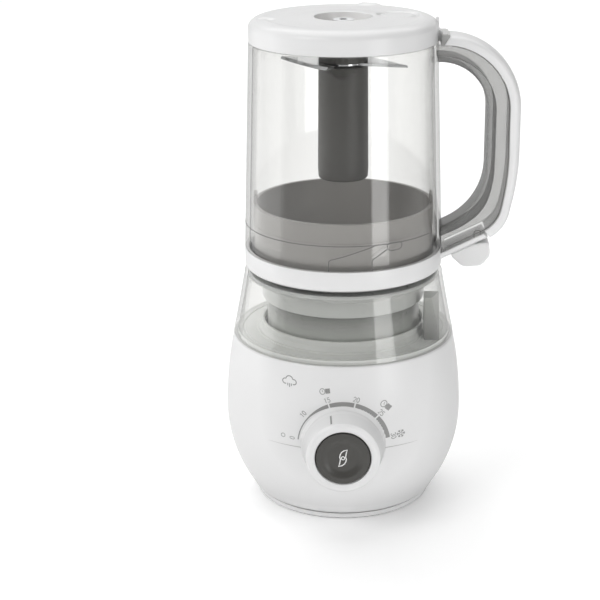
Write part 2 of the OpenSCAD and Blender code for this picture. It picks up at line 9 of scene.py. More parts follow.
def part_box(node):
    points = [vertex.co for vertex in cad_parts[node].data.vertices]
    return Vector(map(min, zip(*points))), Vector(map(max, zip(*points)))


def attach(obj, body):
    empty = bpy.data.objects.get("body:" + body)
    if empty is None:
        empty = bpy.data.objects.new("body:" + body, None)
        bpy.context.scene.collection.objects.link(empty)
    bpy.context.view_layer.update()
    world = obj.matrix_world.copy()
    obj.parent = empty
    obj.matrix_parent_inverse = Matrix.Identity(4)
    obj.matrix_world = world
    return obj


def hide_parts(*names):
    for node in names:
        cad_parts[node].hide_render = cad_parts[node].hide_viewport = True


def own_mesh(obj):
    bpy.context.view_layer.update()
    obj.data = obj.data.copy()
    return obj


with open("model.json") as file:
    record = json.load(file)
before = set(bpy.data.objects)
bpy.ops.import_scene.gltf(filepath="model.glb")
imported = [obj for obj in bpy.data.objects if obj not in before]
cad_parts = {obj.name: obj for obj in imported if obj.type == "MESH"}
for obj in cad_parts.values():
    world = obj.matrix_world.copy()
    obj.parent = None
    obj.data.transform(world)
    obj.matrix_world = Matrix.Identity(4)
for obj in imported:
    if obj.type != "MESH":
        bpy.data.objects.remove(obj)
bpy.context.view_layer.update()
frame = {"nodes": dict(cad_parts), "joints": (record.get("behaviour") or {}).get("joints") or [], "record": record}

# All shapes below are worked out in millimetres and written to the meshes in metres.
MM = 0.001
NODES = frame["nodes"]


# ---------------------------------------------------------------- sizes from the frame

def mm_box(node):
    low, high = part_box(node)
    return [v / MM for v in low], [v / MM for v in high]


def reach(node):
    """A round node's radius about the Z axis."""
    return -mm_box(node)[0][0]


def floor_of(node):
    return mm_box(node)[0][2]


def top_of(node):
    return mm_box(node)[1][2]


JOINTS = {j["name"]: j for j in frame["joints"]}
KNOB_Z = JOINTS["knob_turn"]["pos_m"][2] / MM

BELLY_R = reach("lower_housing")
BELLY_Z = 57.0
BASE_TOP_Z = top_of("lower_housing")
BASE_TOP_R = reach("tank")
BASE_FOOT_Z = floor_of("lower_housing")
CURL_R, CURL_Z = 59.5, 9.0
NECK_R = 52.5
SHELL_T = 2.6

TANK_TOP_Z = top_of("tank")
TANK_TOP_R = 61.9
TANK_T = 2.2
TOWER_R = reach("drive_tower")

RING_Z = floor_of("seat_seal") + 6.4
JAR_Z = top_of("jar_seal") + 9.6
MOUTH_Z = floor_of("lid") - 0.4
JAR_BOTTOM_R = reach("jar")
JAR_TOP_R = 57.1
JAR_T = 2.6

LID_R = reach("lid")
LID_TOP_Z = top_of("lid")

HANDLE_X = mm_box("handle_cover")[1][0]
HANDLE_TOP_Z = top_of("handle_cover")
HANDLE_W = mm_box("handle_cover")[1][1] * 2
COVER_T = 7.0
CHANNEL_T = 13.5

KNOB_FACE_Y = mm_box("control_knob")[0][1]
KNOB_BACK_Y = -75.7
SKIRT_R = mm_box("control_knob")[1][0]
KNOB_R = 21.8
BUTTON_R = mm_box("blend_button")[1][0]
BUTTON_FACE_Y = mm_box("blend_button")[0][1]


# ---------------------------------------------------------------- outlines

def smoothstep(a, b, x):
    t = min(max((x - a) / (b - a), 0.0), 1.0)
    return t * t * (3 - 2 * t)


def corner(a, b, c, r, steps, limit=0.48):
    """Points of the arc of radius r that rounds corner b of the path a, b, c."""
    a, b, c = Vector(a), Vector(b), Vector(c)
    u, w = (a - b).normalized(), (c - b).normalized()
    half = math.acos(max(-1.0, min(1.0, u.dot(w)))) / 2
    if r <= 0 or half > math.radians(89.5):
        return [b]
    r = min(r, limit * math.tan(half) * min((a - b).length, (c - b).length))
    mid = (u + w).normalized()
    centre = b + mid * (r / math.sin(half))
    start = b + u * (r / math.tan(half)) - centre
    end = b + w * (r / math.tan(half)) - centre
    a0 = math.atan2(start.y, start.x)
    turn = math.atan2(end.y, end.x) - a0
    turn = (turn + math.pi) % (2 * math.pi) - math.pi
    return [centre + Vector((math.cos(a0 + turn * i / steps), math.sin(a0 + turn * i / steps))) * r
            for i in range(steps + 1)]


def rounded_loop(points, steps=5):
    """A closed outline; each point is (x, y) or (x, y, radius)."""
    out = []
    n = len(points)
    for i, p in enumerate(points):
        radius = p[2] if len(p) > 2 else 0.0
        out += corner(points[i - 1][:2], p[:2], points[(i + 1) % n][:2], radius, steps)
    return out


def resample(path, step):
    """The same open path with points about step apart."""
    out = [path[0]]
    for a, b in zip(path, path[1:]):
        count = max(1, round((b - a).length / step))
        out += [a.lerp(b, i / count) for i in range(1, count + 1)]
    return out


# ---------------------------------------------------------------- mesh builders

def add_mesh(name, verts, faces, smooth_angle=40.0):
    mesh = bpy.data.meshes.new(name)
    mesh.from_pydata([Vector(v) * MM for v in verts], [], faces)
    bm = bmesh.new()
    bm.from_mesh(mesh)
    bmesh.ops.remove_doubles(bm, verts=bm.verts, dist=1e-7)
    bmesh.ops.recalc_face_normals(bm, faces=bm.faces)
    limit = math.radians(smooth_angle)
    for face in bm.faces:
        face.smooth = True
    for edge in bm.edges:
        edge.smooth = len(edge.link_faces) == 2 and edge.calc_face_angle(0.0) < limit
    bm.to_mesh(mesh)
    bm.free()
    obj = bpy.data.objects.new(name, mesh)
    bpy.context.scene.collection.objects.link(obj)
    return obj


def lathe(name, loop, segments=192, shape=None, smooth_angle=40.0):
    """A closed outline of (radius, height) turned about Z; shape may move each point."""
    verts = []
    for i in range(segments):
        a = 2 * math.pi * i / segments
        for r, z in loop:
            p = (r * math.cos(a), r * math.sin(a), z)
            verts.append(shape(*p) if shape else p)
    n = len(loop)
    faces = []
    for i in range(segments):
        j = (i + 1) % segments
        for k in range(n):
            m = (k + 1) % n
            faces.append((i * n + k, j * n + k, j * n + m, i * n + m))
    return add_mesh(name, verts, faces, smooth_angle)


def facing_front(x, y, z):
    """Turns a shape made along +Z so that it looks to the front on the knob's axis."""
    return (x, -z, y + KNOB_Z)


def sweep(name, path, section, snap=None, smooth_angle=40.0):
    """A closed section of (depth, side) carried along a path of (x, z, inward x, inward z, stretch).
    The stretch scales the depth that lies below the cover; snap may move each point."""
    n = len(section)
    verts = []
    for x, z, nx, nz, grow in path:
        for d, y in section:
            d = d if d <= COVER_T else COVER_T + (d - COVER_T) * grow
            p = (x + nx * d, y, z + nz * d)
            verts.append(snap(p) if snap else p)
    faces = []
    for i in range(len(path) - 1):
        for k in range(n):
            m = (k + 1) % n
            faces.append((i * n + k, (i + 1) * n + k, (i + 1) * n + m, i * n + m))
    faces.append(tuple(range(n)))
    faces.append(tuple((len(path) - 1) * n + k for k in reversed(range(n))))
    return add_mesh(name, verts, faces, smooth_angle)


def prism(name, loop, width, bevel=0.0):
    """A closed outline of (x, z) made width wide across the handle's plane, with soft edges."""
    n = len(loop)
    verts = [(x, side * width / 2, z) for side in (-1, 1) for x, z in loop]
    faces = [tuple(range(n)), tuple(range(2 * n - 1, n - 1, -1))]
    faces += [(k, (k + 1) % n, n + (k + 1) % n, n + k) for k in range(n)]
    obj = add_mesh(name, verts, faces)
    if bevel:
        soften(obj, bevel)
    return obj


def apply_modifiers(obj):
    graph = bpy.context.evaluated_depsgraph_get()
    mesh = bpy.data.meshes.new_from_object(obj.evaluated_get(graph))
    old = obj.data
    obj.modifiers.clear()
    obj.data = mesh
    mesh.name = old.name


def soften(obj, width, segments=3, angle=35.0):
    """Rounds a mesh's sharp edges."""
    mod = obj.modifiers.new("soft", "BEVEL")
    mod.width = width * MM
    mod.segments = segments
    mod.limit_method = "ANGLE"
    mod.angle_limit = math.radians(angle)
    apply_modifiers(obj)
    for poly in obj.data.polygons:
        poly.use_smooth = True
    obj.data.update()


def cut(obj, cutters):
    """Takes the cutters' shapes out of obj and deletes them."""
    for cutter in cutters:
        mod = obj.modifiers.new("cut", "BOOLEAN")
        mod.operation = "DIFFERENCE"
        mod.solver = "EXACT"
        mod.object = cutter
        apply_modifiers(obj)
        bpy.data.objects.remove(cutter)


def join(name, objects):
    """One object from several that share a material."""
    bm = bmesh.new()
    for o in objects:
        bm.from_mesh(o.data)
    mesh = bpy.data.meshes.new(name)
    bm.to_mesh(mesh)
    bm.free()
    for o in objects:
        bpy.data.objects.remove(o)
    joined = bpy.data.objects.new(name, mesh)
    bpy.context.scene.collection.objects.link(joined)
    return joined


# ---------------------------------------------------------------- materials

# Depth of the moulded grain and of the brushed lines, in metres
GRAIN_DEPTH = 0.00006
BRUSH_DEPTH = 0.0001


def node_material(name):
    mat = bpy.data.materials.new(name)
    mat.use_nodes = True
    tree = mat.node_tree
    tree.nodes.clear()
    out = tree.nodes.new("ShaderNodeOutputMaterial")
    return mat, tree, out


def noise_node(tree, scale, detail=3.0, rough=0.5):
    coord = tree.nodes.new("ShaderNodeTexCoord")
    node = tree.nodes.new("ShaderNodeTexNoise")
    node.inputs["Scale"].default_value = scale
    node.inputs["Detail"].default_value = detail
    node.inputs["Roughness"].default_value = rough
    tree.links.new(coord.outputs["Object"], node.inputs["Vector"])
    return node


def ramp_node(tree, source, stops):
    ramp = tree.nodes.new("ShaderNodeValToRGB")
    elements = ramp.color_ramp.elements
    while len(elements) < len(stops):
        elements.new(0.5)
    for element, (pos, colour) in zip(elements, stops):
        element.position = pos
        element.color = (*colour, 1.0) if len(colour) == 3 else colour
    tree.links.new(source, ramp.inputs["Fac"])
    return ramp


def shade(colour, k):
    return tuple(min(1.0, c * k) for c in colour)


def grey(value):
    return (min(1.0, value),) * 3


def multiplied(tree, first, second):
    """The product of two colours."""
    mix = tree.nodes.new("ShaderNodeMix")
    mix.data_type = "RGBA"
    mix.blend_type = "MULTIPLY"
    mix.inputs["Factor"].default_value = 1.0
    tree.links.new(first, mix.inputs["A"])
    tree.links.new(second, mix.inputs["B"])
    return mix.outputs["Result"]


def textured(tree, out, bsdf, pattern, gloss, bump, distance):
    """Lets a pattern vary a surface's gloss and relief, and makes the surface the material's own."""
    (low, rough_low), (high, rough_high) = gloss
    steps = ramp_node(tree, pattern, [(low, grey(rough_low)), (high, grey(rough_high))])
    tree.links.new(steps.outputs["Color"], bsdf.inputs["Roughness"])
    relief = tree.nodes.new("ShaderNodeBump")
    relief.inputs["Strength"].default_value = bump
    relief.inputs["Distance"].default_value = distance
    tree.links.new(pattern, relief.inputs["Height"])
    tree.links.new(relief.outputs["Normal"], bsdf.inputs["Normal"])
    tree.links.new(bsdf.outputs["BSDF"], out.inputs["Surface"])


def moulded(name, colour, rough=0.35, grain=900.0, bump=0.03, vary=0.03, coat=0.0, metal=0.0,
            specular=0.5, rim=None, painted_height_shade=None):
    """Moulded plastic, rubber or plain metal: faint mottling, uneven gloss and a fine moulded grain.
    rim paints shade towards its outline; fade = (low z, high z, share at low z, share at high z) paints shade by
    height."""
    mat, tree, out = node_material(name)
    bsdf = tree.nodes.new("ShaderNodeBsdfPrincipled")
    bsdf.inputs["Metallic"].default_value = metal
    bsdf.inputs["Specular IOR Level"].default_value = specular
    bsdf.inputs["Coat Weight"].default_value = coat
    bsdf.inputs["Coat Roughness"].default_value = 0.12
    broad = noise_node(tree, 26.0, 2.0)
    tint = ramp_node(tree, broad.outputs["Fac"],
                     [(0.3, shade(colour, 1 - vary)), (0.7, shade(colour, 1 + vary))])
    colour_out = tint.outputs["Color"]
    # Painted shade: rim darkens the colour where the surface turns away from the camera.
    if rim:
        weight = tree.nodes.new("ShaderNodeLayerWeight")
        weight.inputs["Blend"].default_value = 0.5
        fall = ramp_node(tree, weight.outputs["Facing"], [(pos, grey(g)) for pos, g in rim])
        colour_out = multiplied(tree, colour_out, fall.outputs["Color"])
    # Painted shade by height: the colour is scaled from one share at low z to another at high z.
    if painted_height_shade:
        low, high, at_low, at_high = painted_height_shade
        coord = tree.nodes.new("ShaderNodeTexCoord")
        split = tree.nodes.new("ShaderNodeSeparateXYZ")
        tree.links.new(coord.outputs["Object"], split.inputs["Vector"])
        level = tree.nodes.new("ShaderNodeMapRange")
        level.inputs["From Min"].default_value = low * MM
        level.inputs["From Max"].default_value = high * MM
        tree.links.new(split.outputs["Z"], level.inputs["Value"])
        steps = ramp_node(tree, level.outputs["Result"], [(0.0, grey(at_low)), (1.0, grey(at_high))])
        colour_out = multiplied(tree, colour_out, steps.outputs["Color"])
    tree.links.new(colour_out, bsdf.inputs["Base Color"])
    fine = noise_node(tree, grain, 2.0, 0.6)
    gloss = ((0.25, rough * 0.85), (0.75, rough * 1.15))
    textured(tree, out, bsdf, fine.outputs["Fac"], gloss, bump, GRAIN_DEPTH)
    return mat


def brushed(name, colour, rough=0.28, stretch=(1.0, 1.0, 60.0), bump=0.08):
    """Bare metal with fine turned or brushed lines."""
    mat, tree, out = node_material(name)
    bsdf = tree.nodes.new("ShaderNodeBsdfPrincipled")
    bsdf.inputs["Metallic"].default_value = 1.0
    coord = tree.nodes.new("ShaderNodeTexCoord")
    mapping = tree.nodes.new("ShaderNodeMapping")
    mapping.inputs["Scale"].default_value = stretch
    tree.links.new(coord.outputs["Object"], mapping.inputs["Vector"])
    lines = tree.nodes.new("ShaderNodeTexNoise")
    lines.inputs["Scale"].default_value = 90.0
    lines.inputs["Detail"].default_value = 5.0
    tree.links.new(mapping.outputs["Vector"], lines.inputs["Vector"])
    tint = ramp_node(tree, lines.outputs["Fac"], [(0.3, shade(colour, 0.88)), (0.7, colour)])
    tree.links.new(tint.outputs["Color"], bsdf.inputs["Base Color"])
    gloss = ((0.2, rough * 0.7), (0.8, rough * 1.3))
    textured(tree, out, bsdf, lines.outputs["Fac"], gloss, bump, BRUSH_DEPTH)
    return mat


def clear(name, tints, rough=0.03, haze=0.0, mirror_k=1.0, milky=(0.55, 0.56, 0.54)):
    """Thin clear plastic: light passes, less of it where the surface turns away, where it mirrors more.
    tints are (turn, share of light); haze is the share of a milky surface mixed in."""
    mat, tree, out = node_material(name)
    weight = tree.nodes.new("ShaderNodeLayerWeight")
    weight.inputs["Blend"].default_value = 0.5
    tint = ramp_node(tree, weight.outputs["Facing"], [(pos, (g, g, g * 0.995)) for pos, g in tints])
    see = tree.nodes.new("ShaderNodeBsdfTransparent")
    tree.links.new(tint.outputs["Color"], see.inputs["Color"])
    bsdf = tree.nodes.new("ShaderNodeBsdfPrincipled")
    bsdf.inputs["Base Color"].default_value = (0.96, 0.96, 0.955, 1.0)
    bsdf.inputs["Metallic"].default_value = 1.0
    fine = noise_node(tree, 60.0, 2.0)
    gloss = ramp_node(tree, fine.outputs["Fac"], [(0.3, grey(rough * 0.6)), (0.7, grey(rough * 1.6))])
    tree.links.new(gloss.outputs["Color"], bsdf.inputs["Roughness"])
    mirror = ramp_node(tree, weight.outputs["Facing"],
                       [(pos, grey(g * mirror_k)) for pos, g in
                        ((0.0, 0.035), (0.45, 0.055), (0.7, 0.14), (1.0, 0.42))])
    mix = tree.nodes.new("ShaderNodeMixShader")
    tree.links.new(mirror.outputs["Color"], mix.inputs["Fac"])
    tree.links.new(see.outputs["BSDF"], mix.inputs[1])
    tree.links.new(bsdf.outputs["BSDF"], mix.inputs[2])
    last = mix
    if haze:
        milk = tree.nodes.new("ShaderNodeBsdfPrincipled")
        milk.inputs["Base Color"].default_value = (*milky, 1.0)
        milk.inputs["Roughness"].default_value = 0.5
        last = tree.nodes.new("ShaderNodeMixShader")
        last.inputs["Fac"].default_value = haze
        tree.links.new(mix.outputs["Shader"], last.inputs[1])
        tree.links.new(milk.outputs["BSDF"], last.inputs[2])
    tree.links.new(last.outputs["Shader"], out.inputs["Surface"])
    return mat


# The white plastic's rim ramp is painted shade: its colour darkens towards the outline.
WHITE = moulded("white_gloss_plastic", (0.82, 0.82, 0.82), 0.32, 900, 0.015, 0.008, coat=0.1,
                specular=0.4, rim=[(0.0, 1.0), (0.35, 1.0), (0.6, 0.86), (0.85, 0.72), (1.0, 0.55)])
INNER_WHITE = moulded("inner_white_plastic", (0.86, 0.86, 0.85), 0.5, 900, 0.06, 0.03)
CLEAR = clear("clear_plastic", [(0.0, 0.975), (0.15, 0.955), (0.35, 0.93), (0.6, 0.89), (0.95, 0.55)])
CLEAR_GREY = clear("clear_grey_plastic", [(0.0, 0.975), (0.4, 0.962), (0.7, 0.89), (0.98, 0.50)], haze=0.04)
HANDLE_CLEAR = clear("handle_clear_plastic", [(0.0, 0.90), (0.3, 0.87), (0.6, 0.75), (0.95, 0.40)],
                     haze=0.20, mirror_k=0.6, milky=(0.68, 0.68, 0.67))
HANDLE_RIB = clear("handle_rib_plastic", [(0.0, 0.66), (0.3, 0.56), (0.6, 0.40), (0.95, 0.20)],
                   haze=0.30, mirror_k=0.5, milky=(0.28, 0.28, 0.27))
FLOOR_CLEAR = clear("tank_floor_plastic", [(0.0, 0.96), (0.6, 0.90), (0.98, 0.7)], haze=0.80, mirror_k=0.5,
                    milky=(0.90, 0.91, 0.89))
WARM_GREY = moulded("warm_grey_plastic", (0.35, 0.337, 0.324), 0.42, 300, 0.01, 0.012, coat=0.1)
LATCH_GREY = moulded("latch_grey_plastic", (0.50, 0.50, 0.49), 0.4, 900, 0.02, 0.02, coat=0.1)
# The tower's darker top is a painted shadow of the seat ring above it.
TOWER_GREY = moulded("tower_grey_plastic", (0.60, 0.615, 0.585), 0.3, 300, 0.01, 0.02, coat=0.2,
                     painted_height_shade=(109.0, 130.0, 0.95, 0.32))
SEAT_GREY = moulded("seat_grey_plastic", (0.55, 0.56, 0.545), 0.3, 300, 0.01, 0.02, coat=0.2)
DARK = moulded("dark_plastic", (0.055, 0.053, 0.048), 0.36, 900, 0.06, 0.06, coat=0.08)
COLUMN_GREY = moulded("column_grey_plastic", (0.055, 0.053, 0.048), 0.5, 300, 0.01, 0.02)
# Painted shade: the duct's colour darkens towards its bottom.
DUCT_GREY = moulded("duct_grey_plastic", (0.52, 0.53, 0.50), 0.35, 300, 0.01, 0.03, coat=0.2,
                    painted_height_shade=(112.0, 142.0, 0.30, 1.0))
RUBBER = moulded("dark_rubber", (0.06, 0.06, 0.06), 0.75, 1500, 0.15, 0.08)
SILICONE = moulded("grey_silicone", (0.42, 0.42, 0.415), 0.55, 1500, 0.08, 0.04)
PRINT = moulded("print_grey", (0.30, 0.30, 0.295), 0.45, 900, 0.02, 0.03)
PRINT_WHITE = moulded("print_white", (0.88, 0.88, 0.87), 0.4, 900, 0.02, 0.01)
# Painted shade: a flat grey for the shade inside the creases beside the knob.
CREASE_SHADE = moulded("painted_crease_shade", (0.50, 0.50, 0.495), 0.4, 900, 0.02, 0.02)
SEAM_DARK = moulded("seam_dark_grey", (0.16, 0.16, 0.155), 0.4, 900, 0.02, 0.02)
STEEL = brushed("brushed_steel", (0.72, 0.73, 0.74), 0.22)
ZINC = brushed("plated_steel", (0.60, 0.61, 0.63), 0.38, (20.0, 20.0, 20.0))
CAST = brushed("cast_aluminium", (0.66, 0.67, 0.68), 0.5, (8.0, 8.0, 8.0), 0.2)
MAGNET = moulded("sintered_magnet", (0.08, 0.08, 0.085), 0.6, 900, 0.2, 0.1, metal=0.6)
COPPER = brushed("copper_winding", (0.70, 0.33, 0.16), 0.35, (6.0, 6.0, 160.0), 0.5)
BRONZE = brushed("sintered_bronze", (0.62, 0.46, 0.24), 0.42, (10.0, 10.0, 10.0), 0.25)
BOARD = moulded("circuit_board", (0.02, 0.11, 0.05), 0.35, 700, 0.1, 0.2, coat=0.3)

SLOT_MATERIALS = {
    "white_plastic": WHITE, "inner_white": INNER_WHITE, "clear_plastic": CLEAR,
    "warm_grey_plastic": WARM_GREY, "tower_grey_plastic": TOWER_GREY, "seat_grey_plastic": SEAT_GREY,
    "dark_plastic": DARK, "duct_plastic": DUCT_GREY, "rubber_dark": RUBBER, "silicone_grey": SILICONE,
    "steel": STEEL, "zinc_steel": ZINC, "cast_aluminium": CAST, "magnet": MAGNET, "copper": COPPER,
    "bronze": BRONZE, "circuit_board": BOARD,
}


def squash_springs():
    """Gives each spring node a mesh of its own and finds the anchor at its fixed end; the spring is not shortened.
    """
    for joint in JOINTS.values():
        for entry in joint.get("deforming_nodes") or []:
            axis = 1 if "fixed_end_y_m" in entry else 2
            fixed = entry["fixed_end_y_m"] if axis == 1 else entry["fixed_end_z_m"]
            low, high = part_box(entry["node"])
            anchor = [(low[i] + high[i]) / 2 for i in range(3)]
            anchor[axis] = fixed
            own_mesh(NODES[entry["node"]])


def dress_frame():
    """Gives every CAD node the material of its slot in the record."""
    for part in frame["record"]["subparts"]:
        obj = NODES[part["node"]]
        obj.data.materials.clear()
        obj.data.materials.append(SLOT_MATERIALS[part["material_slot"]])


def place(obj, body, material, slot, *nodes):
    """Finishes a piece: its material, its body and the CAD nodes that it stands for; slot is not used."""
    obj.data.materials.clear()
    obj.data.materials.append(material)
    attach(obj, body)
    if nodes:
        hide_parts(*nodes)
    return obj


# ---------------------------------------------------------------- base

def arc_radius(z):
    """The housing's radius at height z: one large arc above the belly and one below it."""
    z_end, r_end = (BASE_TOP_Z, BASE_TOP_R) if z >= BELLY_Z else (CURL_Z, CURL_R)
    h, d = abs(z_end - BELLY_Z), BELLY_R - r_end
    rho = (h * h + d * d) / (2 * d)
    return BELLY_R - rho + math.sqrt(rho * rho - (z - BELLY_Z) ** 2)


BOSS_IN, BOSS_OUT = 23.8, 25.9
BOSS_FACE_Y = KNOB_BACK_Y + 0.5


def front_y(x, z):
    """Where the housing's outside lies in front, with the boss behind the knob blended in."""
    r = arc_radius(z)
    y = -math.sqrt(max(r * r - x * x, 0.0))
    away = math.hypot(x, z - KNOB_Z)
    blend = 1 - smoothstep(BOSS_IN, BOSS_OUT, away)
    return y + min(BOSS_FACE_Y - y, 0.0) * blend


def shape_housing(x, y, z):
    if y < -40 and abs(math.hypot(x, y) - arc_radius(z)) < 0.05 and CURL_Z < z < BASE_TOP_Z - 1:
        return (x, front_y(x, z), z)
    return (x, y, z)


def make_housing():
    rise = [CURL_Z + (BELLY_Z - CURL_Z) * i / 46 for i in range(1, 47)]
    rise += [BELLY_Z + (BASE_TOP_Z - BELLY_Z - 0.6) * i / 50 for i in range(1, 51)]
    outer = [(arc_radius(z), z) for z in rise]
    inner = [(arc_radius(z) - SHELL_T, z) for z in reversed(rise[::4])]
    foot = corner((NECK_R, BASE_FOOT_Z), (CURL_R - 1.6, BASE_FOOT_Z + 1.4), (CURL_R + 1.6, CURL_Z + 4), 7, 8)
    loop = [(46.5, BASE_FOOT_Z), (NECK_R - 1.2, BASE_FOOT_Z), (NECK_R, BASE_FOOT_Z + 0.3)]
    loop += foot[:-1] + outer
    loop += [(BASE_TOP_R - 0.25, BASE_TOP_Z - 0.25), (BASE_TOP_R - 0.6, BASE_TOP_Z),
             (BASE_TOP_R - SHELL_T, BASE_TOP_Z)]
    loop += inner + [(CURL_R - SHELL_T - 1.5, 8.0), (52.0, 6.6), (46.5, 6.6)]
    body = lathe("housing_shell", loop, 480, shape_housing)
    slot_loop = rounded_loop([(-14, 22.5, 1.4), (14, 22.5, 1.4), (14, 25.5, 1.4), (-14, 25.5, 1.4)])
    cutters = []
    for lift in (0, 5.2, 10.4):
        vent = prism("vent_cutter", [(x, z + lift) for x, z in slot_loop], 40)
        vent.data.transform(Matrix.Translation((0, 75 * MM, 0)))
        cutters.append(vent)
    cut(body, cutters)
    place(body, "base", WHITE, "white_plastic", "lower_housing")


def make_bottom_cover():
    r = reach("bottom_cover") + 0.15
    z0, z1 = floor_of("bottom_cover") - 0.05, BASE_FOOT_Z
    loop = rounded_loop([(20, z0), (51.2, z0), (51.2, z0 + 1.2), (54.2, z0 + 1.2), (54.2, z0, 0.1),
                         (r, z0, 0.7), (r, z1 - 0.1, 1.1), (20, z1 - 0.1)], 4)
    rim = lathe("foot_flange", loop, 192)
    place(rim, "base", WHITE, "white_plastic")


def make_tank():
    """Clear walls, and a floor that shows the light deck below it through a ridged surface."""
    z0 = BASE_TOP_Z
    floor = z0 + 2.4
    outer, inner = [], []
    for i in range(25):
        t = i / 24
        z = z0 + 1.4 + (TANK_TOP_Z - 1.6 - z0 - 1.4) * t
        r = BASE_TOP_R + (TANK_TOP_R - BASE_TOP_R) * (t ** 0.92)
        outer.append((r, z))
        inner.append((r - TANK_T, z))
    loop = [(BASE_TOP_R - 2.0, z0 + 0.15), (BASE_TOP_R - 0.5, z0 + 0.15), (BASE_TOP_R, z0 + 0.6)] + outer
    rim = [(TANK_TOP_R, TANK_TOP_Z, 1.5), (TANK_TOP_R - TANK_T - 1.0, TANK_TOP_Z, 0.8),
           (TANK_TOP_R - TANK_T - 1.0, TANK_TOP_Z - 1.6, 0.4), (TANK_TOP_R - TANK_T, TANK_TOP_Z - 1.9, 0.3)]
    for i in range(len(rim)):
        before = rim[i - 1][:2] if i else tuple(outer[-1])
        after = rim[i + 1][:2] if i + 1 < len(rim) else tuple(inner[-1])
        loop += corner(before, rim[i][:2], after, rim[i][2], 4)
    loop += inner[-2::-1]
    wall = lathe("tank_wall", loop, 224)
    place(wall, "base", CLEAR_GREY, "clear_plastic", "tank")
    up_out, up_in = TOWER_R + 3.8, TOWER_R + 2.0
    edge = inner[0][0] - 0.1
    loop = rounded_loop([
        (up_in, z0 + 0.2), (edge, z0 + 0.2), (edge, floor + 0.6), (edge - 1.6, floor, 1.0),
        (edge - 3.4, floor), (edge - 3.7, floor - 0.9, 0.2), (edge - 4.4, floor - 0.9, 0.2),
        (edge - 4.7, floor),
        (up_out + 3.2, floor), (up_out + 2.9, floor + 0.8, 0.2), (up_out + 1.6, floor + 0.8, 0.3),
        (up_out, floor + 3.5, 0.4), (up_out, z0 + 9, 0.6), (up_in, z0 + 9, 0.4)], 4)
    place(lathe("tank_floor", loop, 224), "base", FLOOR_CLEAR, "clear_plastic", "tank")


def make_seat():
    """The stepped grey seat that the jar's ring stands over, and the tower below it."""
    r, lip = 50.8, reach("seat_ring")
    z0, z1 = floor_of("seat_ring"), top_of("seat_ring")
    loop = rounded_loop([(43, z0), (r, z0, 0.8), (r, z1 - 6.5, 1.6), (lip, z1 - 2.2, 0.8), (lip, z1, 0.6),
                         (lip - 1.6, z1, 0.5), (lip - 2.2, z1 - 1.2, 0.4), (48.9, z1 - 1.2, 0.3),
                         (48.9, z1 - 4), (45.5, z1 - 4), (45.5, z1, 0.4), (43, z1, 0.4)], 4)
    seat = lathe("seat_collar", loop, 224)
    place(seat, "base", SEAT_GREY, "seat_grey_plastic", "seat_ring")
    t0, t1 = floor_of("drive_tower"), top_of("drive_tower")
    wall = rounded_loop([(TOWER_R - 2.4, t0), (TOWER_R, t0), (TOWER_R, t1, 0.6), (8.05, t1, 0.4),
                         (8.05, t1 - 3), (TOWER_R - 2.4, t1 - 3, 0.5)], 4)
    tower = lathe("tower_shell", wall, 224)
    place(tower, "base", TOWER_GREY, "tower_grey_plastic", "drive_tower")


# ---------------------------------------------------------------- control

def make_knob():
    back, face = -KNOB_BACK_Y, -KNOB_FACE_Y
    bore = BUTTON_R + 0.4
    hub_r, hub_end, bore_r, bore_end = 7, 70, 4, 79
    loop = rounded_loop([(hub_r, hub_end), (hub_r, back), (SKIRT_R, back, 0.5),
                         (SKIRT_R - 0.9, back + 3.4, 3), (KNOB_R + 0.35, face - 1.2, 0.8),
                         (KNOB_R - 1.2, face, 1.3),
                         (bore + 0.5, face - 0.35, 0.5), (bore, face - 1.2, 0.4), (bore, bore_end),
                         (bore_r, bore_end), (bore_r, hub_end)], 6)
    knob = lathe("knob_cap", loop, 224, facing_front)
    place(knob, "knob", WHITE, "white_plastic", "control_knob")
    # The pointer is a small grey bar on the knob's side, just left of the top at rest
    angle = math.radians(POINTER_ANGLE)
    out = Vector((math.cos(angle), math.sin(angle), 0))
    side = Vector((-math.sin(angle), math.cos(angle), 0))
    verts, faces = [], []
    steps = 8
    for i in range(steps + 1):
        t = i / steps
        depth = back + 4.2 + (face - back - 6.6) * t
        radius = SKIRT_R - 0.9 + (KNOB_R + 0.35 - SKIRT_R + 0.9) * (depth - back - 3.4) / (face - back - 4.6)
        for s, lift in ((-0.55, -0.05), (-0.45, 0.12), (0.45, 0.12), (0.55, -0.05)):
            p = out * (radius + lift) + side * s
            verts.append(facing_front(p.x, p.y, depth))
        if i:
            a, b = (i - 1) * 4, i * 4
            faces += [(a + k, a + k + 1, b + k + 1, b + k) for k in range(3)]
    place(add_mesh("knob_pointer", verts, faces), "knob", PRINT, "warm_grey_plastic")


DISH_R = 11.3
DISH_DEPTH = 1.7


def button_depth(r):
    """How far the button's face stands out at radius r: a flat rim falling into a round dish."""
    return -BUTTON_FACE_Y - DISH_DEPTH * (1 - smoothstep(DISH_R - 3.2, DISH_R + 1.8, r)) - 0.25 * (
        smoothstep(BUTTON_R - 4, BUTTON_R, r))


def make_button():
    rings = [BUTTON_R * 0.985 * (1 - i / 40) for i in range(41)]
    face = [(max(r, 0.02), button_depth(r)) for r in rings]
    back, stem_r, stem_end = 84.0, 2.2, 45.5
    loop = [(0.02, back), (BUTTON_R, back), (BUTTON_R, -BUTTON_FACE_Y - 1.3),
            (BUTTON_R - 0.08, -BUTTON_FACE_Y - 0.75)] + face
    button = lathe("button_cap", loop, 192, facing_front)
    stem = lathe("button_stem", [(0.02, stem_end), (stem_r, stem_end), (stem_r, back), (0.02, back)], 32,
                 facing_front)
    place(join("blend_push", [button, stem]), "button", DARK, "dark_plastic", "blend_button")


# ---------------------------------------------------------------- prints on the dial and the button

POINTER_ANGLE = 108.0
MINUTE_MARKS = ["0", "10", "15", "20", "25", "30"]
FIRST_ANGLE, ANGLE_STEP = 174.0, -33.0
PRINT_LIFT = 0.1


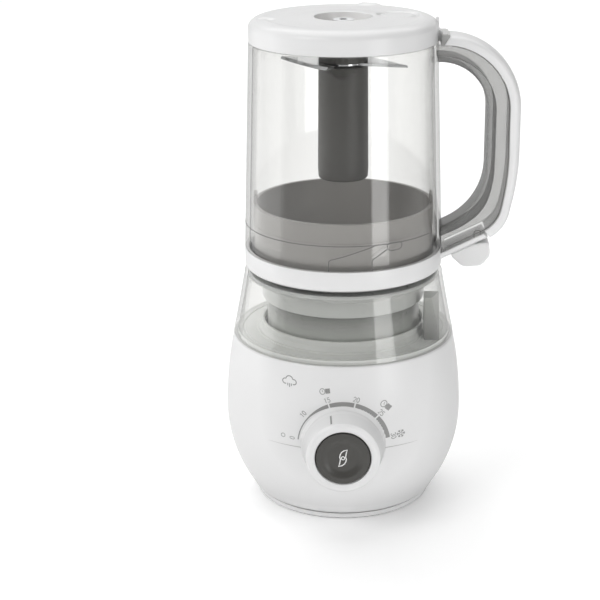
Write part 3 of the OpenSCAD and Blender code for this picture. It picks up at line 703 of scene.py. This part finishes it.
def ribbon(points, width, closed=False):
    """Quads that follow a line with a given width."""
    pts = [Vector(p) for p in points]
    n = len(pts)
    sides = []
    for i, p in enumerate(pts):
        a = pts[i - 1] if i or closed else pts[i]
        b = pts[(i + 1) % n] if i < n - 1 or closed else pts[i]
        d = (b - a).normalized()
        sides.append((p + Vector((-d.y, d.x)) * width / 2, p - Vector((-d.y, d.x)) * width / 2))
    last = n if closed else n - 1
    return [(sides[i][0], sides[i][1], sides[(i + 1) % n][1], sides[(i + 1) % n][0]) for i in range(last)]


def arc_points(cx, cy, rx, ry, a0, a1, n=14):
    return [(cx + rx * math.cos(math.radians(a0 + (a1 - a0) * i / n)),
             cy + ry * math.sin(math.radians(a0 + (a1 - a0) * i / n))) for i in range(n + 1)]


def digit(ch, width):
    """A plain stroke digit in a cell 0.6 wide and 1 high."""
    if ch == "0":
        return ribbon(arc_points(0.3, 0.5, 0.24, 0.46, 0, 360, 24)[:-1], width, True)
    if ch == "1":
        return ribbon([(0.12, 0.76), (0.34, 0.97), (0.34, 0.02)], width)
    if ch == "2":
        return ribbon(arc_points(0.3, 0.70, 0.23, 0.26, 165, -35) + [(0.07, 0.04), (0.54, 0.04)], width)
    if ch == "3":
        return (ribbon(arc_points(0.28, 0.73, 0.21, 0.23, 155, -80), width)
                + ribbon(arc_points(0.28, 0.28, 0.25, 0.25, 85, -155), width))
    return (ribbon([(0.50, 0.96), (0.14, 0.96), (0.10, 0.55)], width)
            + ribbon(arc_points(0.27, 0.32, 0.24, 0.28, 130, -150), width))


def turned(quads, size, x, y, angle, shift=(0.0, 0.0)):
    """Scales, turns and moves flat quads."""
    c, s = math.cos(math.radians(angle)), math.sin(math.radians(angle))
    out = []
    for quad in quads:
        pts = []
        for p in quad:
            u, v = (p[0] + shift[0]) * size, (p[1] + shift[1]) * size
            pts.append((x + u * c - v * s, y + u * s + v * c))
        out.append(pts)
    return out


def number(text, size, radius, angle):
    """A number on the dial whose top points away from the knob."""
    quads = []
    for i, ch in enumerate(text):
        quads += turned(digit(ch, 0.11), 1, (i - len(text) / 2) * 0.68 + 0.04, -0.5, 0)
    a = math.radians(angle)
    return turned(quads, size, radius * math.cos(a), radius * math.sin(a), angle - 90)


def cloud_icon():
    """Three puffs in one outline, open below, where three drops fall."""
    puffs = (arc_points(-2.3, -0.1, 1.35, 1.35, 290, 100, 12) + arc_points(-0.1, 1.15, 1.75, 1.7, 175, 5, 14)
             + arc_points(2.2, -0.1, 1.35, 1.35, 75, -110, 12))
    quads = ribbon(puffs, 0.46)
    for x, d in ((-0.95, 1.1), (0.0, 1.8), (0.95, 1.1)):
        quads += ribbon([(x, -1.0), (x, -1.2 - d)], 0.44)
    return quads


def slice_icon(stripes):
    """A round cut face with a striped body behind it."""
    quads = ribbon(arc_points(-2.0, 0, 1.55, 1.75, 0, 360, 24)[:-1], 0.36, True)
    quads += ribbon([(-2.0, 0.9), (-2.0, 0.1), (-1.5, -0.4)], 0.3)
    for i in range(stripes):
        y = -1.5 + 3.0 * (i + 0.5) / stripes
        quads += ribbon([(-0.2, y), (2.6, y)], 3.0 / stripes * 0.82)
    return quads


def snow_icon():
    quads = []
    for k in range(6):
        arm = (ribbon([(0.5, 0), (2.6, 0)], 0.42) + ribbon([(1.5, 0), (2.2, 0.75)], 0.38)
               + ribbon([(1.5, 0), (2.2, -0.75)], 0.38))
        quads += turned(arm, 1, 0, 0, 60 * k)
    return quads


ARC_R = 27.35
NUMBER_R = 31.0
NUMBER_SIZE = 3.1


def dial_arc():
    """The scale's arc, thin at the start, broader to the end, parted at each mark."""
    quads = []
    last = FIRST_ANGLE + ANGLE_STEP * (len(MINUTE_MARKS) - 1)
    marks = [FIRST_ANGLE + ANGLE_STEP * i for i in range(2, len(MINUTE_MARKS) - 1)]
    n = 160
    for i in range(n):
        a0 = FIRST_ANGLE + (last - FIRST_ANGLE) * i / n
        a1 = FIRST_ANGLE + (last - FIRST_ANGLE) * (i + 1) / n
        if any(abs((a0 + a1) / 2 - m) < 0.55 for m in marks):
            continue
        corners = []
        for a in (a0, a1):
            grow = 0.12 + 0.88 * (1 - smoothstep(95, 150, a))
            half = 1.15 * grow + 0.18
            corners.append((ARC_R - half, ARC_R + half, math.radians(a)))
        (i0, o0, t0), (i1, o1, t1) = corners
        quads.append([(i0 * math.cos(t0), i0 * math.sin(t0)), (o0 * math.cos(t0), o0 * math.sin(t0)),
                      (o1 * math.cos(t1), o1 * math.sin(t1)), (i1 * math.cos(t1), i1 * math.sin(t1))])
    return quads


def lay_on(name, quads, surface, body, material, slot):
    """Lays flat quads on a surface as a thin print with its own thickness."""
    verts, faces = [], []
    for quad in quads:
        base = len(verts)
        for lift in (-0.05, PRINT_LIFT):
            verts += [surface(p[0], p[1], lift) for p in quad]
        faces += [(base, base + 1, base + 2, base + 3), (base + 7, base + 6, base + 5, base + 4)]
        faces += [(base + k, base + (k + 1) % 4, base + 4 + (k + 1) % 4, base + 4 + k) for k in range(4)]
    place(add_mesh(name, verts, faces, 30.0), body, material, slot)


def on_housing(u, v, lift):
    return (u, front_y(u, KNOB_Z + v) - lift, KNOB_Z + v)


def on_button(u, v, lift):
    return facing_front(u, v, button_depth(math.hypot(u, v)) + lift)


def make_prints():
    lay_on("dial_arc", dial_arc(), on_housing, "base", PRINT, "warm_grey_plastic")
    numbers = []
    for i, text in enumerate(MINUTE_MARKS):
        numbers += number(text, NUMBER_SIZE, NUMBER_R, FIRST_ANGLE + ANGLE_STEP * i)
    lay_on("dial_numbers", numbers, on_housing, "base", PRINT, "warm_grey_plastic")
    icons = turned(cloud_icon(), 1.15, -32.2, 38.4, 0)
    icons += turned(slice_icon(7), 1.0, -10.4, 35.0, 8)
    icons += turned(slice_icon(7), 1.15, 26.2, 24.6, -42)
    icons += turned(snow_icon(), 1.0, 35.0, 5.4, 0)
    icons += ribbon(arc_points(-36.4, 3.9, 1.15, 1.15, 0, 360, 24)[:-1], 0.36, True)
    lay_on("dial_icons", icons, on_housing, "base", PRINT, "warm_grey_plastic")
    wing = [(-1.5, -0.9), (-1.95, 0.6), (-1.7, 2.2), (-0.9, 3.7), (0.5, 4.8), (2.6, 5.3), (2.0, 3.6),
            (1.75, 2.0), (1.6, 0.9)]
    blade = ribbon(wing, 0.62) + turned(ribbon(wing, 0.62), 1, 0, 0, 180)
    blade += ribbon(arc_points(0, 0, 1.0, 1.0, 0, 360, 20)[:-1], 0.55, True)
    lay_on("button_icon", blade, on_button, "button", PRINT_WHITE, "white_plastic")
    # The creases beside the knob are painted shade: grey strips that thin outward stand for the shade in each
    # groove.
    for side in (-1, 1):
        line = []
        for i in range(24):
            u0, u1 = SKIRT_R + 0.6 + 20 * i / 24, SKIRT_R + 0.6 + 20 * (i + 1) / 24
            w0, w1 = (0.26 * (1 - i / 24) + 0.02), (0.26 * (1 - (i + 1) / 24) + 0.02)
            line.append([(side * u0, -2.1 - w0), (side * u0, -2.1 + w0),
                         (side * u1, -2.1 + w1), (side * u1, -2.1 - w1)])
        lay_on("housing_crease_shade_left" if side < 0 else "housing_crease_shade_right", line, on_housing, "base",
               CREASE_SHADE, "white_plastic")


# ---------------------------------------------------------------- jar

def jar_radius(z):
    return JAR_BOTTOM_R + (JAR_TOP_R - JAR_BOTTOM_R) * (z - JAR_Z) / (MOUTH_Z - JAR_Z)


def make_jar():
    n = 40
    outer = [(jar_radius(z), z) for z in
             (JAR_Z + 0.8 + (MOUTH_Z - 2 - JAR_Z - 0.8) * i / n for i in range(n + 1))]
    inner = [(jar_radius(z) - JAR_T, z) for z in
             (JAR_Z + 5 + (MOUTH_Z - 4 - JAR_Z - 5) * i / n for i in range(n + 1))]
    skirt_z = top_of("jar_seal")
    loop = rounded_loop([(56.0, skirt_z, 0.3), (58.2, skirt_z, 0.5), (58.2, JAR_Z, 0.2)], 3)
    loop = loop[:-1] if len(loop) > 8 else loop
    loop += [(JAR_BOTTOM_R - 0.4, JAR_Z + 0.05), (JAR_BOTTOM_R - 0.05, JAR_Z + 0.4)] + outer
    rim_r, rim_z = 54.2, top_of("jar")
    loop += corner(outer[-1], (JAR_TOP_R, MOUTH_Z), (rim_r, MOUTH_Z), 0.5, 4)
    loop += [(rim_r, MOUTH_Z), (rim_r, rim_z - 0.5), (rim_r - 0.5, rim_z), (rim_r - 1.5, rim_z),
             (rim_r - 2, rim_z - 0.5), (rim_r - 2, MOUTH_Z - 0.4)]
    loop += inner[::-1] + [(56.4, JAR_Z + 1.2), (56.0, JAR_Z)]
    jar = lathe("jar_glass", loop, 256)
    place(jar, "jar", CLEAR, "clear_plastic", "jar")


def cross_at(a, ta, b, tb):
    """Where two lines cross, each given by a point and an angle in degrees."""
    ta, tb = math.radians(ta), math.radians(tb)
    d = math.cos(ta) * math.sin(tb) - math.sin(ta) * math.cos(tb)
    along = ((b[0] - a[0]) * math.sin(tb) - (b[1] - a[1]) * math.cos(tb)) / d
    return (a[0] + along * math.cos(ta), a[1] + along * math.sin(ta))


LEAN, ARM_ANGLE = 12.0, 26.0
KNEE = (HANDLE_X, 208.0)
ARM = (61.0, 154.2)
ROOT_X = 55.0


def evenly(path, count):
    """The same open path with count + 1 points at equal steps of length."""
    lengths = [0.0]
    for a, b in zip(path, path[1:]):
        lengths.append(lengths[-1] + (b - a).length)
    out, k = [], 0
    for i in range(count + 1):
        want = lengths[-1] * i / count
        while k < len(path) - 2 and lengths[k + 1] < want:
            k += 1
        span = max(lengths[k + 1] - lengths[k], 1e-9)
        out.append(path[k].lerp(path[k + 1], min((want - lengths[k]) / span, 1.0)))
    return out


def edge_path(corners, radii, x_end):
    """An edge of the handle in three legs, parted in the middle of its top and bottom bends."""
    points = [(x_end, corners[0][1])] + list(corners)
    points.append(cross_at(ARM if x_end == ROOT_X else corners[-1], ARM_ANGLE, (x_end, 0), 90))
    arcs = [corner(points[i - 1], points[i], points[i + 1], radii[i - 1], 24, 1.0)
            for i in range(1, len(points) - 1)]
    first, last = arcs[0], arcs[-1]
    middle = [p for arc in arcs[1:-1] for p in arc]
    start, end = Vector(points[0]), Vector(points[-1])
    legs = ([start] + first[:13], first[12:] + middle + last[:13], last[12:] + [end])
    return [p for leg, n in zip(legs, (34, 70, 34)) for p in evenly(leg, n)[:-1]] + [end]


def handle_frames():
    """Stations along the handle: a point of the outer edge, the way inward and the clear part's depth."""
    d = COVER_T + CHANNEL_T
    heel = cross_at(KNEE, 90 - LEAN, ARM, ARM_ANGLE)
    outer = edge_path([(HANDLE_X, HANDLE_TOP_Z), KNEE, heel], (45.5, 150, 24), ROOT_X)
    arm = math.radians(ARM_ANGLE)
    inner_arm = (ARM[0] - d * math.sin(arm), ARM[1] + d * math.cos(arm))
    inner_heel = cross_at((HANDLE_X - d, 0), 90, inner_arm, ARM_ANGLE)
    inner = edge_path([(HANDLE_X - d, HANDLE_TOP_Z - d + 4), inner_heel], (29, 40), ROOT_X - 9)
    frames = []
    for p, q in zip(outer, inner):
        way = (q - p).normalized()
        frames.append((p.x, p.y, way.x, way.y, ((q - p).length - COVER_T) / CHANNEL_T))
    return frames


def clear_of_jar(p):
    """Moves a point of the handle out of the jar's wall and the ring."""
    x, y, z = p
    r = jar_radius(min(max(z, JAR_Z), MOUTH_Z)) + 0.12 if z > JAR_Z + 0.6 else 64.1
    return (max(x, math.sqrt(max(r * r - y * y, 0.0))), y, z)


SPLIT_X, SPLIT_Z = 90.3, 168.6
SPLIT_TURN = 42.0
CHANNEL_W = HANDLE_W / 2 - 1.5


def split_side(p):
    """Positive above the split between the handle's cover and the ring's arm."""
    turn = math.radians(SPLIT_TURN)
    return (p[0] - SPLIT_X) * math.sin(turn) + (p[1] - SPLIT_Z) * math.cos(turn)


def shell_section(depth, half_w, power=2.6, n=14):
    """A crowned section: flat at full depth, rounded on the outside."""
    pts = []
    for i in range(n * 2 + 1):
        t = math.pi * i / (2 * n)
        c, s = math.cos(t), math.sin(t)
        pts.append((depth - depth * abs(s) ** (2 / power),
                    -half_w * math.copysign(abs(c) ** (2 / power), c)))
    return pts


def make_handle():
    frames = handle_frames()
    cover = [f for f in frames if f[0] > 63.2 and (f[1] > SPLIT_Z + 1 or split_side(f[:2]) > 0.5)]
    section = [(d, y) for d, y in shell_section(COVER_T, HANDLE_W / 2, 3.6)]
    section += [(COVER_T, HANDLE_W / 2 - 1.6), (COVER_T - 1.0, HANDLE_W / 2 - 2.2),
                (COVER_T - 1.0, -HANDLE_W / 2 + 2.2), (COVER_T, -HANDLE_W / 2 + 1.6)]
    shell = sweep("handle_shell", cover, section)
    soften(shell, 0.5, 2, 50)
    place(shell, "jar", WHITE, "white_plastic", "handle_cover")

    d1 = COVER_T + CHANNEL_T
    rib_t = 5.0
    d0, wall_t = COVER_T + 0.15, 2.0
    wall = rounded_loop([(d0, -CHANNEL_W), (d1 - rib_t, -CHANNEL_W), (d1 - rib_t, wall_t - CHANNEL_W),
                         (d0, wall_t - CHANNEL_W)])
    pieces = []
    for side in (1, -1):
        section = [(d, y * side) for d, y in wall]
        pieces.append(sweep("channel_wall", frames, section, clear_of_jar))
    place(join("handle_glass", pieces), "jar", HANDLE_CLEAR, "clear_plastic", "handle_channel")
    rib = rounded_loop([(d1 - rib_t + 0.05, -CHANNEL_W), (d1, -CHANNEL_W, 4.4), (d1, CHANNEL_W, 4.4),
                        (d1 - rib_t + 0.05, CHANNEL_W)], 8)
    place(sweep("handle_rib", frames, rib, clear_of_jar), "jar", HANDLE_RIB, "clear_plastic",
          "handle_channel")

    def on_side(u, v, lift):
        return clear_of_jar((u, -CHANNEL_W - 0.12 - lift, v))

    lines = []
    for depth in (COVER_T + 0.5, d1 - rib_t):
        path = []
        for x, z, nx, nz, grow in frames:
            d = COVER_T + (depth - COVER_T) * grow
            path.append((x + nx * d, z + nz * d))
        lines += ribbon([p for p in path if p[0] > 63.5], 0.4)
    tab = [(80.6, 169.4), (80.6, 173.6), (81.5, 174.6), (83.8, 174.6), (84.7, 173.6), (84.7, 171.4)]
    lines += ribbon(tab, 0.5)
    lay_on("handle_lines", lines, on_side, "jar", SEAM_DARK, "dark_plastic")


def make_ring():
    z0, z1 = RING_Z, JAR_Z - 0.2
    r = JAR_BOTTOM_R
    loop = rounded_loop([(16, z0), (r - 3.4, z0, 1.0), (r, z0 + 1.6, 2.2), (r, z1, 0.5), (58.6, z1, 0.3),
                         (58.6, z0 + 2.4, 0.5), (16, z0 + 2.4)], 5)
    ring = lathe("ring_body", loop, 256)
    frames = handle_frames()
    arm = [f for f in frames if f[1] < SPLIT_Z + 6 and split_side(f[:2]) < -0.3]
    section = [(d + 0.3, y) for d, y in shell_section(COVER_T - 1.8, HANDLE_W / 2 - 0.8)]
    strap = sweep("arm_strap", arm, section)
    soften(strap, 0.5, 2, 50)
    outline = rounded_loop([(66.8, 159, 1.5), (67.6, 156.6, 2.5), (74.4, 150.4, 6), (85.8, 151.2, 7),
                            (91.0, 157.6, 5), (90.2, 166.4, 1.5), (80, 165, 1)], 8)
    paddle = prism("thumb_paddle", outline, 18, 1.8)
    place(join("jar_foot_ring", [ring, strap, paddle]), "ring", WHITE, "white_plastic", "jar_ring")


def make_strainer():
    """The rolled band round the top of the strainer's cup and the step below it."""
    r = reach("strainer")
    top = mm_box("strainer")[1][2] - 5
    step = 179.6
    loop = rounded_loop([(r - 0.8, step), (r + 0.22, step, 0.1), (r + 0.22, top - 0.6, 0.2),
                         (r + 0.3, top, 0.2), (r - 0.8, top + 0.15, 0.3)], 3)
    place(lathe("strainer_band", loop, 224), "jar", WARM_GREY, "warm_grey_plastic")


def make_jar_marks():
    """Bayonet detail low on the jar: a step line, two raised ramps and a small window at their end."""
    def on_wall(angle, z, lift):
        a, r = math.radians(angle), jar_radius(z) + 0.12 + lift
        return (r * math.sin(a), -r * math.cos(a), z)

    step = 179.4
    around = [(a, step) for a in range(-88, 60, 2)]
    ramp = [(-8.0, 164.0), (-8.0, 170.4), (-6.8, 171.2), (0, 173.2), (8, 175.9), (16.5, 178.6), (18, 179.0)]
    lower = [(16.2, 164.0), (16.2, 170.3), (20, 173.0), (25, 175.9)]
    window = [(25.6, 176.2), (25.2, 178.6), (27.0, 179.8), (33.4, 179.6), (35.0, 178.2), (34.6, 176.2),
              (32.8, 175.2), (27.6, 175.0)]
    quads = []
    for line, spacing in ((around, 1.5), (ramp, 1.5), (lower, 1.5), (window + window[:1], 1.2)):
        quads += ribbon(resample([Vector(p) for p in line], spacing), 0.5)
    lay_on("jar_bayonet_marks", quads, on_wall, "jar", SEAM_DARK, "dark_plastic")


def make_latch():
    """The grip block on top of the handle's root, with its fine ribs."""
    low, high = mm_box("latch_block")
    width = high[1] - low[1]
    block = prism("latch_core", [(low[0] + 0.5, low[2]), (high[0], low[2]), (high[0], high[2] - 0.8),
                                 (high[0] - 0.8, high[2]), (low[0] + 0.5, high[2])], width - 0.8, 0.3)
    ribs = []
    count = 7
    for i in range(count):
        z = low[2] + 0.7 + (high[2] - low[2] - 1.4) * i / (count - 1)
        x0, x1, half = low[0], high[0] + 0.15, 0.28
        outline = [(x0, z - half), (x1, z - half), (x1, z + half), (x0, z + half)]
        ribs.append(prism("latch_rib", outline, width))
    place(join("latch_grip", [block] + ribs), "jar", LATCH_GREY, "warm_grey_plastic", "latch_block")


# ---------------------------------------------------------------- lid and blade

SHOULDER_R = 9.0
PLUG_Z = floor_of("lid_seal") - 0.4
WELL_R = 17.5
WELL_Z = 298.0
SIDE_TOP_Z = 298.8
PIN_X = 56.2


def lid_top(x, y):
    """Small relief on the lid's flat top: a finger dish, a crescent groove and a low bump at the back."""
    dish = -1.5 * (1 - smoothstep(2.2, 5.2, math.hypot((x + 46) * 0.75, (y + 5) * 1.1)))
    r = math.hypot(x - 33, y - 9)
    groove = -1.3 * smoothstep(9.0, 11.4, r) * (1 - smoothstep(11.6, 13.2, r)) * smoothstep(-4, 6, y)
    bump = 1.2 * (1 - smoothstep(3.5, 7.5, math.hypot((x - 17) * 0.8, (y - 49) * 1.3)))
    return dish + groove + bump


def make_lid():
    z0 = MOUTH_Z + 0.4
    side = SIDE_TOP_Z
    rise = LID_TOP_Z - side - 0.4
    top_r = LID_R - SHOULDER_R
    outer = [Vector((LID_R - 0.5, z0)), Vector((LID_R - 0.05, z0 + 0.4))]
    outer += [Vector((LID_R - 0.05 * i / 6, z0 + 0.4 + (side - z0 - 0.4) * i / 6)) for i in range(1, 6)]
    outer += [Vector((top_r + SHOULDER_R * math.cos(math.radians(a)),
                      side + rise * math.sin(math.radians(a)) ** 0.9)) for a in range(0, 91, 6)]
    flat = []
    n = 40
    for i in range(1, n + 1):
        r = top_r - (top_r - WELL_R - 1.0) * i / n
        dip = 0.55 * smoothstep(0, 4, top_r - r) - 0.75 * (1 - smoothstep(WELL_R + 1, WELL_R + 16, r))
        flat.append(Vector((r, side + rise - dip)))
    rim_z = flat[-1].y
    well = corner(flat[-1], (WELL_R, rim_z), (WELL_R - 0.4, WELL_Z), 0.8, 5)
    well += corner((WELL_R, rim_z), (WELL_R - 0.4, WELL_Z), (8, WELL_Z), 1.0, 5)
    t = 2.4
    plug_in, plug_out, plug_low = 48, 50, PLUG_Z + 0.3
    under = [(8.1, WELL_Z), (8.1, WELL_Z - 7), (10, WELL_Z - 7), (10, WELL_Z - 2), (WELL_R + 2, WELL_Z - 2),
             (WELL_R + 2, rim_z - t), (plug_in, rim_z - t - 0.4), (plug_in, plug_low),
             (plug_in + 0.3, PLUG_Z),
             (plug_out - 0.3, PLUG_Z), (plug_out, plug_low), (plug_out, 300.6), (53.0, 299.2),
             (LID_R - t, 296), (LID_R - t, z0)]

    def relief(x, y, z):
        r = math.hypot(x, y)
        if z > side + 2 and WELL_R + 1.4 < r < LID_R - 1.5:
            return (x, y, z + lid_top(x, y))
        return (x, y, z)

    lid = lathe("lid_shell", outer + flat + well + under, 288, relief)
    lug = prism("lid_lug", rounded_loop(
        [(54.9, z0 + 0.2, 0.5), (58.7, z0 + 0.2, 0.8), (58.7, 296.4, 1.2), (54.9, 298.8, 0.5)], 5), 9.4, 0.7)
    place(join("lid_body", [lid, lug]), "lid", WHITE, "white_plastic", "lid")
    tab = prism("lock_tab", rounded_loop(
        [(PIN_X - 0.95, 296.6, 0.2), (PIN_X + 0.95, 296.6, 0.2), (PIN_X + 0.95, 304.1, 0.6),
         (PIN_X - 0.95, 304.1, 0.6)], 4), 2.0, 0.25)
    place(tab, "pin", WHITE, "white_plastic", "lock_pin")


WING_FRONT = [(-38.3, 14.6), (-32.4, 4.6), (-26, -5), (-20.8, -12.4), (-15.5, -19.3), (-10.2, -22.6)]
WING_BACK = [(-38.0, 15.0), (-31, 13.9), (-24, 12.4), (-17, 10.7), (-10, 8.6), (0, 4)]
WING_END = [(-3.6, -12.6), (2, -6)]


def make_blade():
    """Two ground wings: a bevel runs along each front edge and a bright one across its end."""
    low, high = floor_of("blade"), top_of("blade")
    bevel = 2.6
    verts, faces = [], []
    for sign in (1, -1):
        base = len(verts)
        outline = WING_FRONT + WING_END + WING_BACK[::-1]
        inset = []
        for i, (x, y) in enumerate(outline):
            ground = i < len(WING_FRONT) + 1
            k = bevel if 0 < i < len(WING_FRONT) - 1 else (1.6 if ground else 0.0)
            inset.append((x + k * 0.80, y + k * 0.58))
        for x, y in outline:
            verts.append((sign * x, sign * y, low))
        for i, (x, y) in enumerate(outline):
            edge_z = low + 0.15 if i < len(WING_FRONT) + 1 else high
            verts.append((sign * x, sign * y, edge_z))
        for x, y in inset:
            verts.append((sign * x, sign * y, high))
        n = len(outline)
        for lift in (0, n):
            faces += [(base + lift + k, base + lift + (k + 1) % n, base + lift + n + (k + 1) % n,
                       base + lift + n + k) for k in range(n)]
        faces.append(tuple(base + k for k in range(n)))
        faces.append(tuple(base + 2 * n + k for k in reversed(range(n))))
    wings = add_mesh("blade_wings", verts, faces, 8.0)
    hub = lathe("blade_hub", rounded_loop([(4.02, low + 0.02), (12, low + 0.02, 0.2), (12, high + 0.02, 0.2),
                                           (4.02, high + 0.02)], 3), 96)
    place(join("blade_steel", [wings, hub]), "blade_unit", STEEL, "steel", "blade")


def make_column():
    r = reach("blade_column")
    z0, z1 = floor_of("blade_column"), top_of("blade_column")
    loop = rounded_loop([(11, z0, 0.6), (r - 0.4, z0, 1.6), (r, z0 + 6, 4), (r - 0.5, z1 - 0.3, 0.6),
                         (4.05, z1 - 0.3), (4.05, z1 - 10), (11, z1 - 14, 1)], 5)
    shaft = lathe("column_body", loop, 128)
    place(shaft, "blade_unit", COLUMN_GREY, "dark_plastic", "blade_column")
    n0, n1 = floor_of("blade_nut"), top_of("blade_nut")
    cap = lathe("column_cap", rounded_loop([(4.05, n0), (r - 0.6, n0, 0.3), (r - 0.8, n1, 0.8), (7, n1),
                                            (7, n1 - 3.3), (4.05, n1 - 3.3)], 4), 128)
    place(cap, "blade_unit", COLUMN_GREY, "dark_plastic", "blade_nut")


# ---------------------------------------------------------------- studio

def area_light(name, spot, ahead, size, radiance):
    data = bpy.data.lights.new(name, "AREA")
    data.shape = "RECTANGLE"
    data.size, data.size_y = size
    data.energy = radiance * math.pi * size[0] * size[1]
    obj = bpy.data.objects.new(name, data)
    obj.location = spot
    obj.rotation_euler = Vector(ahead).to_track_quat("-Z", "Y").to_euler()
    bpy.context.scene.collection.objects.link(obj)


def standing_panel(name, a, b, height, radiance):
    """A softbox that stands on the floor from a to b and faces the object."""
    a, b = Vector(a), Vector(b)
    mid, along = (a + b) / 2, (b - a).normalized()
    ahead = Vector((-along.y, along.x))
    if ahead.dot(-mid) < 0:
        ahead = -ahead
    area_light(name, (mid.x, mid.y, height / 2 + 0.01), (ahead.x, ahead.y, 0), ((b - a).length, height),
               radiance)


def overhead(name, spot, size, radiance):
    area_light(name, spot, (0, 0, -1), size, radiance)


def make_studio():
    n = 24
    profile = [(-2.2, 0.0)]
    profile += [(1.6 + 0.9 * math.sin(math.pi / 2 * i / n), 0.9 - 0.9 * math.cos(math.pi / 2 * i / n))
                for i in range(n + 1)]
    profile.append((2.5, 3.2))
    verts = [(x, y, z) for y, z in profile for x in (-3.2, 3.2)]
    faces = [(2 * i, 2 * i + 1, 2 * i + 3, 2 * i + 2) for i in range(len(profile) - 1)]
    mesh = bpy.data.meshes.new("studio_floor")
    mesh.from_pydata(verts, [], faces)
    for poly in mesh.polygons:
        poly.use_smooth = True
    floor = bpy.data.objects.new("studio_floor", mesh)
    bpy.context.scene.collection.objects.link(floor)
    paper = moulded("studio_paper", (0.92, 0.92, 0.92), 0.8, 300, 0.01, 0.004, specular=0.2)
    paper_bsdf = next(n for n in paper.node_tree.nodes if n.type == "BSDF_PRINCIPLED")
    paper_bsdf.inputs["Emission Color"].default_value = (1.0, 1.0, 1.0, 1.0)
    paper_bsdf.inputs["Emission Strength"].default_value = 0.16
    mesh.materials.append(paper)

    world = bpy.data.worlds.new("studio_world")
    bpy.context.scene.world = world
    world.use_nodes = True
    world.node_tree.nodes["Background"].inputs["Color"].default_value = (1.0, 1.0, 1.0, 1.0)
    world.node_tree.nodes["Background"].inputs["Strength"].default_value = 0.20
    standing_panel("panel_left", (-0.60, -0.17), (-0.46, 0.42), 0.75, 1.0)
    standing_panel("panel_right", (0.33, -0.52), (0.47, -0.37), 0.5, 3.2)
    area_light("key", (-0.80, -0.75, 0.95), (0.80, 0.75, -0.80), (0.6, 0.6), 4.6)
    overhead("top", (-0.15, 0.1, 1.6), (1.3, 1.1), 1.8)
    overhead("backdrop_wash", (0.0, 1.5, 1.9), (3.0, 1.2), 2.4)


def make_camera():
    data = bpy.data.cameras.new("camera")
    data.sensor_width = 36.0
    data.lens = 95.95
    cam = bpy.data.objects.new("camera", data)
    pitch, yaw, roll = math.radians(18.935), math.radians(1.632), math.radians(-0.502)
    ahead = Vector((-math.sin(yaw) * math.cos(pitch), math.cos(yaw) * math.cos(pitch), -math.sin(pitch)))
    right = Vector((math.cos(yaw), math.sin(yaw), 0))
    up = right.cross(ahead)
    side = right * math.cos(roll) + up * math.sin(roll)
    top = up * math.cos(roll) - right * math.sin(roll)
    turn = Matrix((side, top, -ahead)).transposed()
    cam.matrix_world = Matrix.Translation((0, -0.9576, 0.4543)) @ turn.to_4x4()
    bpy.context.scene.collection.objects.link(cam)
    bpy.context.scene.camera = cam
    bpy.context.scene.view_settings.view_transform = "Standard"


dress_frame()
squash_springs()
make_housing()
make_bottom_cover()
make_tank()
make_seat()
make_knob()
make_button()
make_prints()
make_jar()
make_handle()
make_ring()
make_strainer()
make_jar_marks()
make_latch()
make_lid()
make_blade()
make_column()
make_studio()
make_camera()
